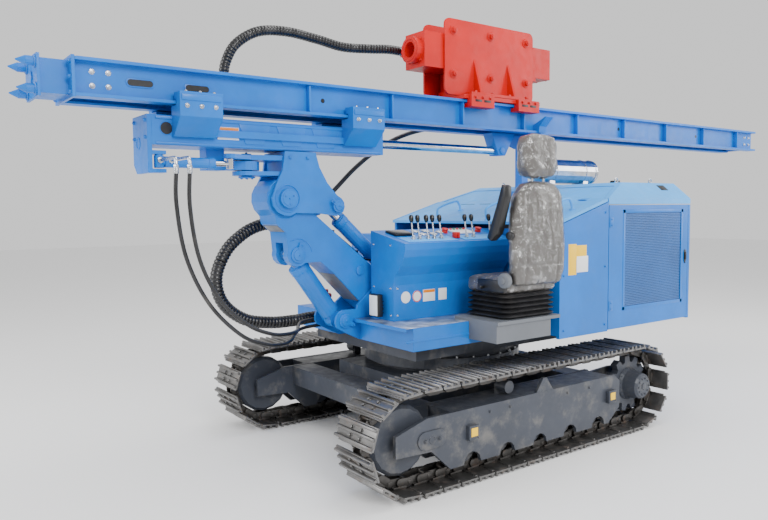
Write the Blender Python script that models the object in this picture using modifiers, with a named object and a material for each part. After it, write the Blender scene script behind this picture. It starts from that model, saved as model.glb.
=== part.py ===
"""Crawler pile driver rig: tracked undercarriage, slewing upper, boom, tilting mast and sliding hammer.

Metres.  +X forwards to the mast's foot, +Y to the operator's side, +Z up.  The origin is on the
ground, on the centre line, below the middle of the stowed mast.
"""
import math

import bmesh
import bpy
from mathutils import Vector

# ---------------------------------------------------------------- clearances
GAP = 0.0003
PIN_PLAY = 0.0006
TURN_PLAY = 0.0016
SLIDE_PLAY = 0.006
SIDE_PLAY = 0.010
ROUND_STEPS = 16

# ---------------------------------------------------------------- undercarriage
TRACK_GAUGE = 1.65
SHOE_WIDTH = 0.35
WHEEL_BASE = 2.10
WHEEL_MID_X = 0.68
TRACK_RADIUS = 0.31
CHAIN_DEPTH = 0.095
SHOE_PITCH = 0.135
GROUSER = 0.022
SPROCKET_WIDTH = 0.05
SPROCKET_TEETH = 11
DRIVE_RADIUS = 0.12
IDLER_WIDTH = 0.10
ROLLER_COUNT = 5
ROLLER_RADIUS = 0.075
ROLLER_WIDTH = 0.12
ROLLER_SPACING = 0.138 * WHEEL_BASE
CARRIER_ROLLER_RADIUS = 0.04
FRAME_PLATE = 0.025
FRAME_TOP_Z = 0.43
FRAME_GUARD_Z = 0.105
FRAME_HALF_WIDTH = 0.125
CENTRE_TOP_Z = 0.50
CENTRE_BOTTOM_Z = 0.27
RING_RADIUS = 0.56
RING_HEIGHT = 0.15

# ---------------------------------------------------------------- slewing platform
DECK_BOTTOM_Z = 0.744
DECK_HEIGHT = 0.139
DECK_FRONT_X = 1.486
DECK_STEP_X = 0.43
DECK_HALF_FRONT = 0.687
BAY_REAR_X = -1.08
BAY_HALF_WIDTH = 0.886
PANEL = 0.026
PANEL_BOTTOM_Z = 0.727
DOOR_TOP_Z = 1.60
DOOR_FRONT_X = -0.074
EAVE_Z = 1.645
ROOF_Z = 1.765
ROOF_HALF = 0.74
ROOF_CREST_X = -0.42
HOOD_LID_X = -0.068
HOOD_LID_Z = 1.646
HOOD_FRONT_X = 0.450
HOOD_FRONT_Z = 1.492
HOOD_WALL = 0.02
TANK_FRONT_X = 1.00
TANK_TOP_Z = 1.40
TANK_INNER_Y = -0.17
SLOT_HALF = 0.1355
SLOT_REAR_X = 0.66
CONSOLE_REAR_X = 0.47
CONSOLE_FRONT_X = 1.42
CONSOLE_BACK_Y = 0.17
CONSOLE_FOOT_Y = 0.41
CONSOLE_EDGE_Y = 0.53
CONSOLE_BACK_Z = 1.448
CONSOLE_EDGE_Z = 1.375
SEAT_X = 0.715
SEAT_WIDTH = 0.50
SEAT_FRONT_Y = 0.545
SEAT_TOP_Z = 1.165
HEADREST_TOP_Z = 2.03
MUFFLER_RADIUS = 0.10
MUFFLER_Z = 1.885
REST_X = -0.16
REST_GAP = 0.005

# ---------------------------------------------------------------- boom and its two cylinders
BRACKET_PLATE = 0.020
BOOM_HALF = 0.105
BOOM_FOOT = (1.20, 0.93)
BOOM_HEAD = (2.00, 1.654)
LIFT_FOOT = (1.602, 0.874)
LIFT_HEAD = (1.92, 1.309)
LIFT_RADIUS = 0.062
LIFT_ROD_RADIUS = 0.032
TILT_EYE = (1.656, 1.607)
TILT_RADIUS = 0.050
TILT_ROD_RADIUS = 0.028
HEAD_PLATE = 0.020
HEAD_PIN_RADIUS = 0.035
HEAD_TOP_Z = 1.935

# ---------------------------------------------------------------- carrier, mast and hammer
SWING_X = 2.20
SWING_ARM_Y = 0.10
SWING_BARREL_X = 2.76
SWING_ROD_X = 2.35
SWING_Z = 1.850
CARRIER_REAR_X = 1.28
CARRIER_FRONT_X = 2.80
CARRIER_HALF = 0.12
CARRIER_BOTTOM_Z = 1.940
CARRIER_TOP_Z = 2.100
CARRIER_WALL = 0.025
CLAMP_LENGTH = 0.24
CLAMP_FRONT_X = 2.57
CLAMP_REAR_X = 1.48
FEED_ROD_RADIUS = 0.030
FEED_BARREL_RADIUS = 0.045
FEED_Z = 2.022
MAST_REAR_X = -3.44
MAST_FOOT_X = 3.19
MAST_BOTTOM_Z = 2.154
MAST_HEIGHT = 0.192
MAST_HALF = 0.190
FLANGE = 0.016
WEB_OUTER = 0.142
WEB = 0.012
CHANNEL_MOUTH = 0.100
CLAW_TIP_X = 3.44
CLAW_COUNT = 4
CLAW_LENGTH = 0.087
HAMMER_REAR_X = -0.15
HAMMER_FRONT_X = 0.74
HAMMER_BASE_Z = 2.352
HAMMER_PLATE_Z = 2.43
HAMMER_TOP_Z = 2.91
HAMMER_HALF = 0.105
HAMMER_PLATE = 0.015
RAM_BOTTOM_Z = 2.56
RAM_TOP_Z = 2.80
RAM_FRONT_X = 0.96

# ---------------------------------------------------------------- hoses
LOOP_HOSE_RADIUS = 0.040
THIN_HOSE_RADIUS = 0.011
MAST_HOSE_RADIUS = 0.016
HAMMER_HOSE_RADIUS = 0.032
LOOP_ROUTE = [(1.8615, -0.225, 1.500), (1.92, -0.225, 1.500), (2.01, -0.227, 1.488), (2.12, -0.230, 1.440),
              (2.24, -0.230, 1.335), (2.31, -0.232, 1.170), (2.27, -0.235, 1.010), (2.13, -0.235, 0.895),
              (1.95, -0.235, 0.855), (1.78, -0.235, 0.850), (1.66, -0.235, 0.858), (1.60, -0.235, 0.860),
              (1.5415, -0.235, 0.860)]
THIN_ROUTES = {
    "hose_swing_a": [(2.76, 0.360, 1.820), (2.765, 0.360, 1.620), (2.72, 0.360, 1.340), (2.60, 0.357, 1.090),
                     (2.42, 0.345, 0.905), (2.25, 0.300, 0.825), (2.10, 0.215, 0.795), (1.98, 0.105, 0.790),
                     (1.88, -0.030, 0.795), (1.79, -0.125, 0.805), (1.71, -0.152, 0.812),
                     (1.60, -0.152, 0.815), (1.4875, -0.152, 0.815)],
    "hose_swing_b": [(2.70, 0.390, 1.820), (2.705, 0.390, 1.600), (2.66, 0.390, 1.330), (2.55, 0.387, 1.110),
                     (2.39, 0.375, 0.960), (2.22, 0.335, 0.885), (2.07, 0.250, 0.860), (1.95, 0.130, 0.850),
                     (1.87, 0.000, 0.850), (1.79, -0.110, 0.855), (1.71, -0.150, 0.858),
                     (1.60, -0.152, 0.860), (1.4875, -0.152, 0.860)],
}
MAST_ROUTE = [(1.52, -0.330, 1.60), (1.38, -0.330, 1.72), (1.20, -0.330, 1.88),
              (1.00, -0.330, 2.02), (0.80, -0.325, 2.12), (0.58, -0.318, 2.185), (0.38, -0.315, 2.205),
              (0.2415, -0.315, 2.205)]
HAMMER_ROUTE = [(2.215, -0.262, 2.2865), (2.215, -0.262, 2.40), (2.20, -0.262, 2.50), (2.13, -0.260, 2.62),
                (1.98, -0.255, 2.715), (1.78, -0.248, 2.74), (1.56, -0.240, 2.72), (1.36, -0.225, 2.69),
                (1.16, -0.190, 2.695), (1.02, -0.168, 2.705), (0.8865, -0.168, 2.705)]

COLLECTION = bpy.data.collections.new("pile_driver_rig")
CUTTERS = bpy.data.collections.new("cutters")
SIDES = (("left", 1), ("right", -1))

# colour, roughness, metallic
FINISHES = {
    "blue": ((0.0, 0.25, 0.70), 0.35, 0.0),
    "pale_blue": ((0.30, 0.58, 0.86), 0.40, 0.0),
    "red": ((0.75, 0.05, 0.03), 0.40, 0.0),
    "dark_grey": ((0.045, 0.048, 0.055), 0.50, 0.0),
    "steel": ((0.42, 0.42, 0.43), 0.45, 0.9),
    "chrome": ((0.80, 0.80, 0.82), 0.12, 1.0),
    "aluminium": ((0.62, 0.63, 0.65), 0.35, 0.9),
    "black": ((0.015, 0.015, 0.017), 0.55, 0.0),
    "seat_grey": ((0.16, 0.15, 0.14), 0.80, 0.0),
    "light_grey": ((0.38, 0.40, 0.42), 0.50, 0.0),
}
ORIGINS = {}


# ---------------------------------------------------------------- modelling helpers
def clear_scene():
    for obj in list(bpy.data.objects):
        bpy.data.objects.remove(obj, do_unlink=True)


def material(name, finish):
    colour, roughness, metallic = FINISHES[finish]
    made = bpy.data.materials.new(name)
    made.use_nodes = True
    shader = made.node_tree.nodes["Principled BSDF"]
    shader.inputs["Base Color"].default_value = (*colour, 1.0)
    shader.inputs["Roughness"].default_value = roughness
    shader.inputs["Metallic"].default_value = metallic
    return made


def pivot(name, place, parent=None):
    """An empty on a joint's axis.  The moving pieces are its children."""
    empty = bpy.data.objects.new(f"axis_{name}", None)
    COLLECTION.objects.link(empty)
    ORIGINS[name] = Vector(place)
    empty.location = ORIGINS[name]
    if parent:
        empty.parent = bpy.data.objects[f"axis_{parent}"]
        empty.location -= ORIGINS[parent]


def link(obj):
    COLLECTION.objects.link(obj)
    return obj


def mesh_object(name, bm):
    mesh = bpy.data.meshes.new(name)
    bm.to_mesh(mesh)
    bm.free()
    return link(bpy.data.objects.new(name, mesh))


def box(name, low, high):
    """A box between two corners, with its origin at its middle."""
    low, high = Vector(low), Vector(high)
    bm = bmesh.new()
    bmesh.ops.create_cube(bm, size=1.0)
    bmesh.ops.scale(bm, vec=high - low, verts=bm.verts)
    obj = mesh_object(name, bm)
    obj.location = (low + high) / 2
    return obj


def rod(name, start, end, radius, end_radius=None, steps=ROUND_STEPS):
    """A round bar, or a cone, from start to end."""
    start, end = Vector(start), Vector(end)
    bm = bmesh.new()
    bmesh.ops.create_cone(bm, cap_ends=True, segments=steps, radius1=radius,
                          radius2=radius if end_radius is None else end_radius, depth=(end - start).length)
    obj = mesh_object(name, bm)
    obj.location = (start + end) / 2
    obj.rotation_mode = "QUATERNION"
    obj.rotation_quaternion = (end - start).to_track_quat("Z", "Y")
    shade_round(obj)
    return obj


def shade_round(obj):
    obj.data.shade_smooth()
    obj.data.set_sharp_from_angle(angle=math.radians(35))


def to_mesh(obj):
    """A curve made a mesh, so that it can be cut or joined."""
    bpy.context.view_layer.update()
    mesh = bpy.data.meshes.new_from_object(obj.evaluated_get(bpy.context.evaluated_depsgraph_get()))
    bm = bmesh.new()
    bm.from_mesh(mesh)
    bmesh.ops.remove_doubles(bm, verts=bm.verts, dist=0.00001)
    bmesh.ops.recalc_face_normals(bm, faces=bm.faces)
    bm.to_mesh(mesh)
    bm.free()
    name = obj.name
    matrix = obj.matrix_world.copy()
    bpy.data.objects.remove(obj, do_unlink=True)
    made = link(bpy.data.objects.new(name, mesh))
    made.matrix_world = matrix
    return made


# the turn that takes a flat outline into each plane, and the axis that it is thick along
PLANES = {
    "XZ": ((math.pi / 2, 0.0, 0.0), 1),
    "YZ": ((math.pi / 2, 0.0, math.pi / 2), 0),
    "XY": ((0.0, 0.0, 0.0), 2),
}


def plate(name, plane, outlines, low, high):
    """A flat outline, with any holes after it, thick from low to high across its plane."""
    curve = bpy.data.curves.new(name, "CURVE")
    curve.dimensions = "2D"
    curve.fill_mode = "BOTH"
    curve.extrude = (high - low) / 2
    for outline in outlines:
        spline = curve.splines.new("POLY")
        spline.points.add(len(outline) - 1)
        for point, (across, up) in zip(spline.points, outline):
            point.co = (across, up, 0.0, 1.0)
        spline.use_cyclic_u = True
    obj = link(bpy.data.objects.new(name, curve))
    turn, axis = PLANES[plane]
    obj.rotation_euler = turn
    obj.location[axis] = (low + high) / 2
    return to_mesh(obj)


def arc(centre, radius, start, end, steps=6):
    """Points on an arc, from one angle to another in degrees."""
    angles = [math.radians(start + (end - start) * i / steps) for i in range(steps + 1)]
    return [(centre[0] + radius * math.cos(a), centre[1] + radius * math.sin(a)) for a in angles]


def turned(name, profile, centre, axis, steps=ROUND_STEPS, hollow=False):
    """A turned piece: profile is (radius, height) down its outer side, turned about its own Z."""
    mesh = bpy.data.meshes.new(name)
    points = [(radius, 0.0, height) for radius, height in profile]
    count = len(points)
    edges = [(i, i + 1) for i in range(count - 1)]
    if hollow:
        edges.append((count - 1, 0))
    mesh.from_pydata(points, edges, [])
    obj = link(bpy.data.objects.new(name, mesh))
    screw = obj.modifiers.new("turn", "SCREW")
    screw.steps = screw.render_steps = steps
    screw.use_merge_vertices = True
    screw.merge_threshold = 0.0001
    screw.use_smooth_shade = False
    obj.location = centre
    obj.rotation_mode = "QUATERNION"
    obj.rotation_quaternion = Vector(axis).to_track_quat("Z", "Y")
    return obj


def hide_as_cutter(obj):
    for collection in list(obj.users_collection):
        collection.objects.unlink(obj)
    CUTTERS.objects.link(obj)
    obj.hide_render = True
    obj.display_type = "WIRE"


def combine(target, operation, others):
    for other in others:
        modifier = target.modifiers.new(operation.lower(), "BOOLEAN")
        modifier.operation = operation
        modifier.solver = "EXACT"
        modifier.object = other
        hide_as_cutter(other)
    return target


def join(target, *others):
    return combine(target, "UNION", others)


def cut(target, *others):
    return combine(target, "DIFFERENCE", others)


def finish(obj, look, body=None):
    """Its material, and its place on a moving body."""
    obj.data.materials.clear()
    obj.data.materials.append(material(obj.name, look))
    family = [obj] + [m.object for m in obj.modifiers if m.type == "BOOLEAN"]
    for member in family if body else []:
        member.parent = bpy.data.objects[f"axis_{body}"]
        member.location = member.location - ORIGINS[body]
    return obj


def smooth_route(points, spacing):
    """Points along a smooth curve through the route's own points, about one spacing apart."""
    ends = [2 * Vector(points[0]) - Vector(points[1])] + [Vector(p) for p in points]
    ends.append(2 * Vector(points[-1]) - Vector(points[-2]))
    route = [ends[1]]
    for p0, p1, p2, p3 in zip(ends, ends[1:], ends[2:], ends[3:]):
        steps = max(1, round((p2 - p1).length / spacing))
        for i in range(1, steps + 1):
            t = i / steps
            route.append(0.5 * (2 * p1 + (p2 - p0) * t + (2 * p0 - 5 * p1 + 4 * p2 - p3) * t * t
                                + (3 * p1 - p0 - 3 * p2 + p3) * t ** 3))
    return route


def hose(name, points, radius, body, look="black"):
    curve = bpy.data.curves.new(name, "CURVE")
    curve.dimensions = "3D"
    curve.bevel_depth = radius
    curve.bevel_resolution = 2
    curve.use_fill_caps = True
    route = smooth_route(points, 3 * 2 * radius)
    spline = curve.splines.new("POLY")
    spline.points.add(len(route) - 1)
    for point, place in zip(spline.points, route):
        point.co = (*place, 1.0)
    return finish(link(bpy.data.objects.new(name, curve)), look, body)


def along(start, end, distance):
    """The point that lies a distance from start towards end, both (x, z)."""
    length = math.dist(start, end)
    return tuple(a + (b - a) * distance / length for a, b in zip(start, end))


# ---------------------------------------------------------------- undercarriage
FRONT_WHEEL_X = WHEEL_MID_X + WHEEL_BASE / 2
REAR_WHEEL_X = WHEEL_MID_X - WHEEL_BASE / 2
CHAIN_INNER = TRACK_RADIUS - CHAIN_DEPTH
GUIDE_Z = 2 * TRACK_RADIUS - CHAIN_DEPTH
WHEEL_RIM = math.sqrt(CHAIN_INNER ** 2 - (SHOE_PITCH / 2) ** 2) - 0.003
ROLLER_Z = CHAIN_DEPTH + ROLLER_RADIUS + GAP


def track_point(distance, offset):
    """A point on the track's loop: distance is measured along its inner line, offset out of it."""
    turn = math.pi * CHAIN_INNER
    radius = CHAIN_INNER + offset
    distance %= 2 * (WHEEL_BASE + turn)
    if distance < WHEEL_BASE:
        return REAR_WHEEL_X + distance, TRACK_RADIUS + radius
    distance -= WHEEL_BASE
    if distance < turn:
        angle = math.pi / 2 - distance / CHAIN_INNER
        return FRONT_WHEEL_X + radius * math.cos(angle), TRACK_RADIUS + radius * math.sin(angle)
    distance -= turn
    if distance < WHEEL_BASE:
        return FRONT_WHEEL_X - distance, TRACK_RADIUS - radius
    distance -= WHEEL_BASE
    angle = -math.pi / 2 - distance / CHAIN_INNER
    return REAR_WHEEL_X + radius * math.cos(angle), TRACK_RADIUS + radius * math.sin(angle)


def track(side, sign):
    inner_length = 2 * (WHEEL_BASE + math.pi * CHAIN_INNER)
    middle_length = inner_length + math.pi * CHAIN_DEPTH
    shoes = round(middle_length / SHOE_PITCH)
    step = inner_length / shoes
    outer = []
    for i in range(shoes):
        for share, depth in ((0.12, GROUSER), (0.28, 0.0), (0.72, 0.0), (0.88, GROUSER)):
            outer.append(track_point((i + share) * step, CHAIN_DEPTH - depth))
    inner = [track_point((i + 0.5) * step, 0.0) for i in range(shoes)]
    middle = sign * TRACK_GAUGE / 2
    obj = plate(f"track_{side}", "XZ", [outer, inner], middle - SHOE_WIDTH / 2, middle + SHOE_WIDTH / 2)
    return finish(obj, "steel")


def track_frame(side, sign):
    """Outer and inner plates, the box between them and the slim roller guards below."""
    middle = sign * TRACK_GAUGE / 2
    rollers = [WHEEL_MID_X + (i - (ROLLER_COUNT - 1) / 2) * ROLLER_SPACING for i in range(ROLLER_COUNT)]
    outline = [(REAR_WHEEL_X + 0.24, 0.20), (REAR_WHEEL_X + 0.36, FRAME_GUARD_Z)]
    for x in rollers:
        depth = 0.062 + 0.003 * abs(x - WHEEL_MID_X) / ROLLER_SPACING
        outline += arc((x, FRAME_GUARD_Z), depth, 180, 0, 6)
    outline += [(FRONT_WHEEL_X - 0.30, FRAME_GUARD_Z), (FRONT_WHEEL_X - 0.16, 0.235),
                (FRONT_WHEEL_X + 0.09, 0.245), (FRONT_WHEEL_X + 0.09, 0.365),
                (FRONT_WHEEL_X - 0.13, FRAME_TOP_Z), (REAR_WHEEL_X + 0.30, FRAME_TOP_Z),
                (REAR_WHEEL_X + 0.24, 0.385)]
    plates = []
    for face, out in (("outer", sign), ("inner", -sign)):
        edge = middle + out * FRAME_HALF_WIDTH
        low, high = sorted((edge, edge - out * FRAME_PLATE))
        plates.append(plate(f"frame_{face}_{side}", "XZ", [outline], low, high))
    beam = box(f"track_frame_{side}", (REAR_WHEEL_X + 0.32, middle - FRAME_HALF_WIDTH + 0.005, 0.262),
               (FRONT_WHEEL_X - 0.32, middle + FRAME_HALF_WIDTH - 0.005, FRAME_TOP_Z - 0.002))
    inner_y = middle - sign * (FRAME_HALF_WIDTH - FRAME_PLATE / 2)
    low, high = inner_y - FRAME_PLATE / 2 + 0.002, inner_y + FRAME_PLATE / 2 - 0.002
    drive_arm = plate(f"drive_arm_{side}", "XZ",
                      [[(REAR_WHEEL_X + 0.40, 0.26), (REAR_WHEEL_X + 0.40, 0.40), (REAR_WHEEL_X + 0.05, 0.42),
                        *arc((REAR_WHEEL_X, TRACK_RADIUS), 0.11, 80, 280, 8), (REAR_WHEEL_X + 0.05, 0.20)]],
                      low, high)
    outer_y = middle + sign * FRAME_HALF_WIDTH
    low, high = sorted((outer_y - sign * FRAME_PLATE, outer_y))
    lug = plate(f"frame_lug_{side}", "XZ",
                [[(0.55, FRAME_TOP_Z - 0.01), (0.72, FRAME_TOP_Z - 0.01), (0.65, 0.515), (0.62, 0.515)]],
                low + 0.002, high - 0.002)
    post_y = middle - sign * 0.03
    post = box(f"roller_post_{side}", (0.86, post_y - 0.012, FRAME_TOP_Z - 0.02),
               (0.92, post_y + 0.012, FRAME_TOP_Z + 0.06))
    roller_z = GUIDE_Z - CARRIER_ROLLER_RADIUS - 0.003
    roller = rod(f"carrier_roller_{side}", (0.89, post_y, roller_z), (0.89, post_y + sign * 0.09, roller_z),
                 CARRIER_ROLLER_RADIUS)
    finish(join(beam, *plates, drive_arm, lug, post, roller), "dark_grey")


def wheels(side, sign):
    middle = sign * TRACK_GAUGE / 2
    across = (0, 1, 0)
    rim = WHEEL_RIM
    flank, hub, reach = IDLER_WIDTH / 2, 0.045, FRAME_HALF_WIDTH - FRAME_PLATE - 0.0015
    half = [(0, reach), (hub, reach), (hub, flank), (rim - 0.02, flank), (rim, 0.03)]
    profile = half + [(radius, -height) for radius, height in reversed(half)]
    idler = turned(f"idler_{side}", profile, (FRONT_WHEEL_X, middle, TRACK_RADIUS), across)
    finish(idler, "dark_grey")
    teeth = []
    for i in range(SPROCKET_TEETH):
        for share, radius in ((0.0, rim - 0.045), (0.3, rim - 0.045), (0.45, rim), (0.85, rim)):
            angle = 2 * math.pi * (i + share) / SPROCKET_TEETH
            teeth.append((REAR_WHEEL_X + radius * math.cos(angle), TRACK_RADIUS + radius * math.sin(angle)))
    sprocket = plate(f"sprocket_{side}", "XZ", [teeth], middle - SPROCKET_WIDTH / 2,
                     middle + SPROCKET_WIDTH / 2)
    inner = FRAME_HALF_WIDTH - FRAME_PLATE - GAP
    drive = turned(f"final_drive_{side}", [(0, 0.155), (0.075, 0.155), (0.09, 0.14), (0.105, 0.05),
                                           (DRIVE_RADIUS, 0.03), (DRIVE_RADIUS, -inner), (0, -inner)],
                   (REAR_WHEEL_X, middle, TRACK_RADIUS), (0, sign, 0))
    finish(join(sprocket, drive), "dark_grey")


def rollers(side, sign):
    """The bottom rollers on the rail that carries their shafts."""
    middle = sign * TRACK_GAUGE / 2
    half = ROLLER_WIDTH / 2
    span = (ROLLER_COUNT - 1) / 2 * ROLLER_SPACING
    rail = box(f"bottom_rollers_{side}", (WHEEL_MID_X - span - 0.02, middle - 0.02, ROLLER_Z - 0.012),
               (WHEEL_MID_X + span + 0.02, middle + 0.02, ROLLER_Z + 0.012))
    wheels_made = []
    for i in range(ROLLER_COUNT):
        centre = Vector((WHEEL_MID_X - span + i * ROLLER_SPACING, middle, ROLLER_Z))
        wheels_made.append(rod(f"bottom_roller_{side}_{i}", centre - Vector((0, half, 0)),
                               centre + Vector((0, half, 0)), ROLLER_RADIUS))
    finish(join(rail, *wheels_made), "dark_grey")


def centre_frame():
    """The box between the tracks, with a cross beam at each end and the collar of the slewing ring."""
    reach = TRACK_GAUGE / 2 - FRAME_HALF_WIDTH - GAP
    body = box("center_frame", (0.05, -0.40, CENTRE_BOTTOM_Z), (1.31, 0.40, CENTRE_TOP_Z))
    front = box("cross_beam_front", (1.36, -reach, 0.295), (1.53, reach, 0.428))
    rear = box("cross_beam_rear", (-0.02, -reach, 0.295), (0.15, reach, 0.428))
    neck = box("front_neck", (1.25, -0.30, 0.30), (1.40, 0.30, 0.42))
    collar = rod("ring_collar", (WHEEL_MID_X, 0, CENTRE_TOP_Z - 0.02), (WHEEL_MID_X, 0, CENTRE_TOP_Z + 0.03),
                 0.50, steps=48)
    finish(join(body, front, rear, neck, collar), "dark_grey")
    ring_low = CENTRE_TOP_Z + 0.03 + GAP
    ring = turned("slew_ring", [(0, RING_HEIGHT - 0.03), (RING_RADIUS - 0.03, RING_HEIGHT - 0.03),
                                (RING_RADIUS - 0.03, 0.075), (RING_RADIUS, 0.075), (RING_RADIUS, 0), (0, 0)],
                  (WHEEL_MID_X, 0, ring_low), (0, 0, 1), steps=48)
    finish(ring, "dark_grey")
    return ring_low + RING_HEIGHT - 0.03


# ---------------------------------------------------------------- slewing platform
DECK_TOP_Z = DECK_BOTTOM_Z + DECK_HEIGHT


def platform(ring_top):
    base = box("turret_base", (0.05, -0.58, ring_top + 0.004), (1.38, 0.58, DECK_BOTTOM_Z - GAP))
    finish(base, "dark_grey", "slew")
    half_rear = BAY_HALF_WIDTH - PANEL - GAP
    rear = BAY_REAR_X + PANEL + GAP
    half = [(rear, half_rear), (DECK_STEP_X, half_rear), (DECK_STEP_X, DECK_HALF_FRONT),
            (DECK_FRONT_X, DECK_HALF_FRONT), (DECK_FRONT_X, SLOT_HALF), (SLOT_REAR_X, SLOT_HALF)]
    outline = half + [(x, -y) for x, y in reversed(half)]
    deck = plate("deck", "XY", [outline], DECK_BOTTOM_Z, DECK_TOP_Z)
    port = box("loop_hose_port", (DECK_FRONT_X - 0.06, -0.285, 0.80), (1.54, -0.185, 0.905))
    finish(join(deck, port), "blue", "slew")


def boom_bracket():
    """Two plates that carry the boom's foot, the tilt cylinder and the lift cylinder, on one base."""
    floor = DECK_BOTTOM_Z
    anchor = TILT_ANCHOR
    outline = [(anchor[0] - 0.12, floor), (1.49, floor), (1.60, 0.797), *arc(LIFT_FOOT, 0.072, -35, 80, 5),
               (1.509, 0.944), (1.503, 0.970), (1.386, 1.065), *arc(BOOM_FOOT, 0.145, 60, 120, 4),
               (anchor[0] + 0.04, anchor[1] + 0.105), (anchor[0] - 0.08, anchor[1] + 0.075),
               (anchor[0] - 0.12, anchor[1])]
    near = BOOM_HALF + SIDE_PLAY
    base = box("boom_bracket", (anchor[0] - 0.11, -near - 0.002, floor), (1.37, near + 0.002, floor + 0.02))
    pieces = []
    for side, sign in SIDES:
        low, high = sorted((sign * near, sign * (near + BRACKET_PLATE)))
        pieces.append(plate(f"bracket_plate_{side}", "XZ", [outline], low, high))
    finish(join(base, *pieces), "blue", "slew")


def console():
    outline = [(CONSOLE_BACK_Y, DECK_TOP_Z + GAP), (CONSOLE_FOOT_Y, DECK_TOP_Z + GAP), (CONSOLE_FOOT_Y, 1.11),
               (CONSOLE_FOOT_Y + 0.02, 1.17), (CONSOLE_FOOT_Y + 0.07, 1.23), (CONSOLE_EDGE_Y - 0.015, 1.29),
               (CONSOLE_EDGE_Y, 1.335), (CONSOLE_EDGE_Y, CONSOLE_EDGE_Z), (CONSOLE_BACK_Y, CONSOLE_BACK_Z)]
    finish(plate("console", "YZ", [outline], CONSOLE_REAR_X, CONSOLE_FRONT_X), "blue", "slew")
    slope = (CONSOLE_EDGE_Z - CONSOLE_BACK_Z) / (CONSOLE_EDGE_Y - CONSOLE_BACK_Y)
    strip_y = (0.40, 0.49)
    strip_z = [CONSOLE_BACK_Z + slope * (y - CONSOLE_BACK_Y) + GAP + 0.0002 for y in strip_y]
    thick = 0.012
    strip = [(strip_y[0], strip_z[0]), (strip_y[1], strip_z[1]), (strip_y[1], strip_z[1] + thick),
             (strip_y[0], strip_z[0] + thick)]
    bank = plate("control_levers", "YZ", [strip], 0.56, 1.34)
    levers = []
    foot = (strip_z[0] + strip_z[1]) / 2 + 0.004
    for i, x in enumerate((1.29, 1.24, 1.17, 1.12, 1.06, 0.84, 0.78, 0.62)):
        levers.append(rod(f"lever_stem_{i}", (x, 0.445, foot), (x, 0.43, 1.50), 0.006, steps=8))
        levers.append(rod(f"lever_knob_{i}", (x, 0.430, 1.498), (x, 0.427, 1.548), 0.017, 0.012, steps=8))
    finish(join(bank, *levers), "black", "slew")
    lamp = turned("work_lamp", [(0, 0.06), (0.03, 0.06), (0.055, 0.02), (0.055, 0), (0, 0)],
                  (CONSOLE_FRONT_X + 0.0703, 0.285, 0.975), (-1, 0, 0))
    finish(lamp, "chrome", "slew")


def seat():
    """Seat on its bracket outside the deck, facing the console."""
    low_x, high_x = SEAT_X - SEAT_WIDTH / 2, SEAT_X + SEAT_WIDTH / 2
    stand = box("seat_bracket", (low_x + 0.02, DECK_HALF_FRONT - 0.13, DECK_TOP_Z + GAP),
                (high_x + 0.08, 0.94, DECK_TOP_Z + 0.022))
    skirt = box("seat_skirt", (low_x + 0.10, DECK_HALF_FRONT + GAP, 0.775),
                (high_x + 0.08, 0.93, DECK_TOP_Z + 0.01))
    finish(join(stand, skirt), "light_grey", "slew")
    bellows_low = DECK_TOP_Z + 0.022 + GAP
    ribs = 4
    rib = (1.060 - bellows_low) / ribs
    half_depth = 0.185
    middle_y = 0.735
    outline = []
    for i in range(ribs):
        z = bellows_low + i * rib
        outline += [(-half_depth + 0.03, z), (-half_depth, z + rib / 2)]
    outline.append((-half_depth + 0.03, 1.060))
    outline += [(-y, z) for y, z in reversed(outline)]
    bellows = plate("seat_bellows", "YZ", [[(middle_y + y, z) for y, z in outline]], low_x + 0.03,
                    high_x - 0.01)
    finish(bellows, "black", "slew")
    cushion = box("seat_cushion", (low_x, SEAT_FRONT_Y, 1.060 + GAP), (high_x, 0.915, SEAT_TOP_Z))
    finish(soften(cushion, 0.035), "seat_grey", "slew")
    back = plate("seat_back", "YZ", [[(0.917, 1.10), (0.985, 1.10), (0.998, 1.74), (0.905, 1.76)]],
                 low_x + 0.01, high_x - 0.01)
    rest = box("headrest", (SEAT_X - 0.15, 0.895, 1.775), (SEAT_X + 0.15, 0.995, HEADREST_TOP_Z))
    stem = box("headrest_stem", (SEAT_X - 0.05, 0.935, 1.70), (SEAT_X + 0.05, 0.960, 1.80))
    arm = plate("armrest", "YZ", [[(0.80, 1.40), (0.87, 1.36), (0.98, 1.66), (0.98, 1.74), (0.93, 1.74)]],
                high_x - 0.014, high_x + 0.062)
    finish(join(soften(back, 0.02), soften(rest, 0.03), stem, soften(arm, 0.012)), "seat_grey", "slew")


def soften(obj, width):
    bevel = obj.modifiers.new("soft_edge", "BEVEL")
    bevel.width = width
    bevel.segments = 2
    bevel.limit_method = "ANGLE"
    return obj


def frame_panel(name, plane, low, high, outer, hole):
    """A door or a wall with a window for its grille: low and high are its thickness."""
    (a0, b0), (a1, b1) = outer
    (c0, d0), (c1, d1) = hole
    return plate(name, plane, [[(a0, b0), (a1, b0), (a1, b1), (a0, b1)],
                               [(c0, d0), (c0, d1), (c1, d1), (c1, d0)]], low, high)


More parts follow.
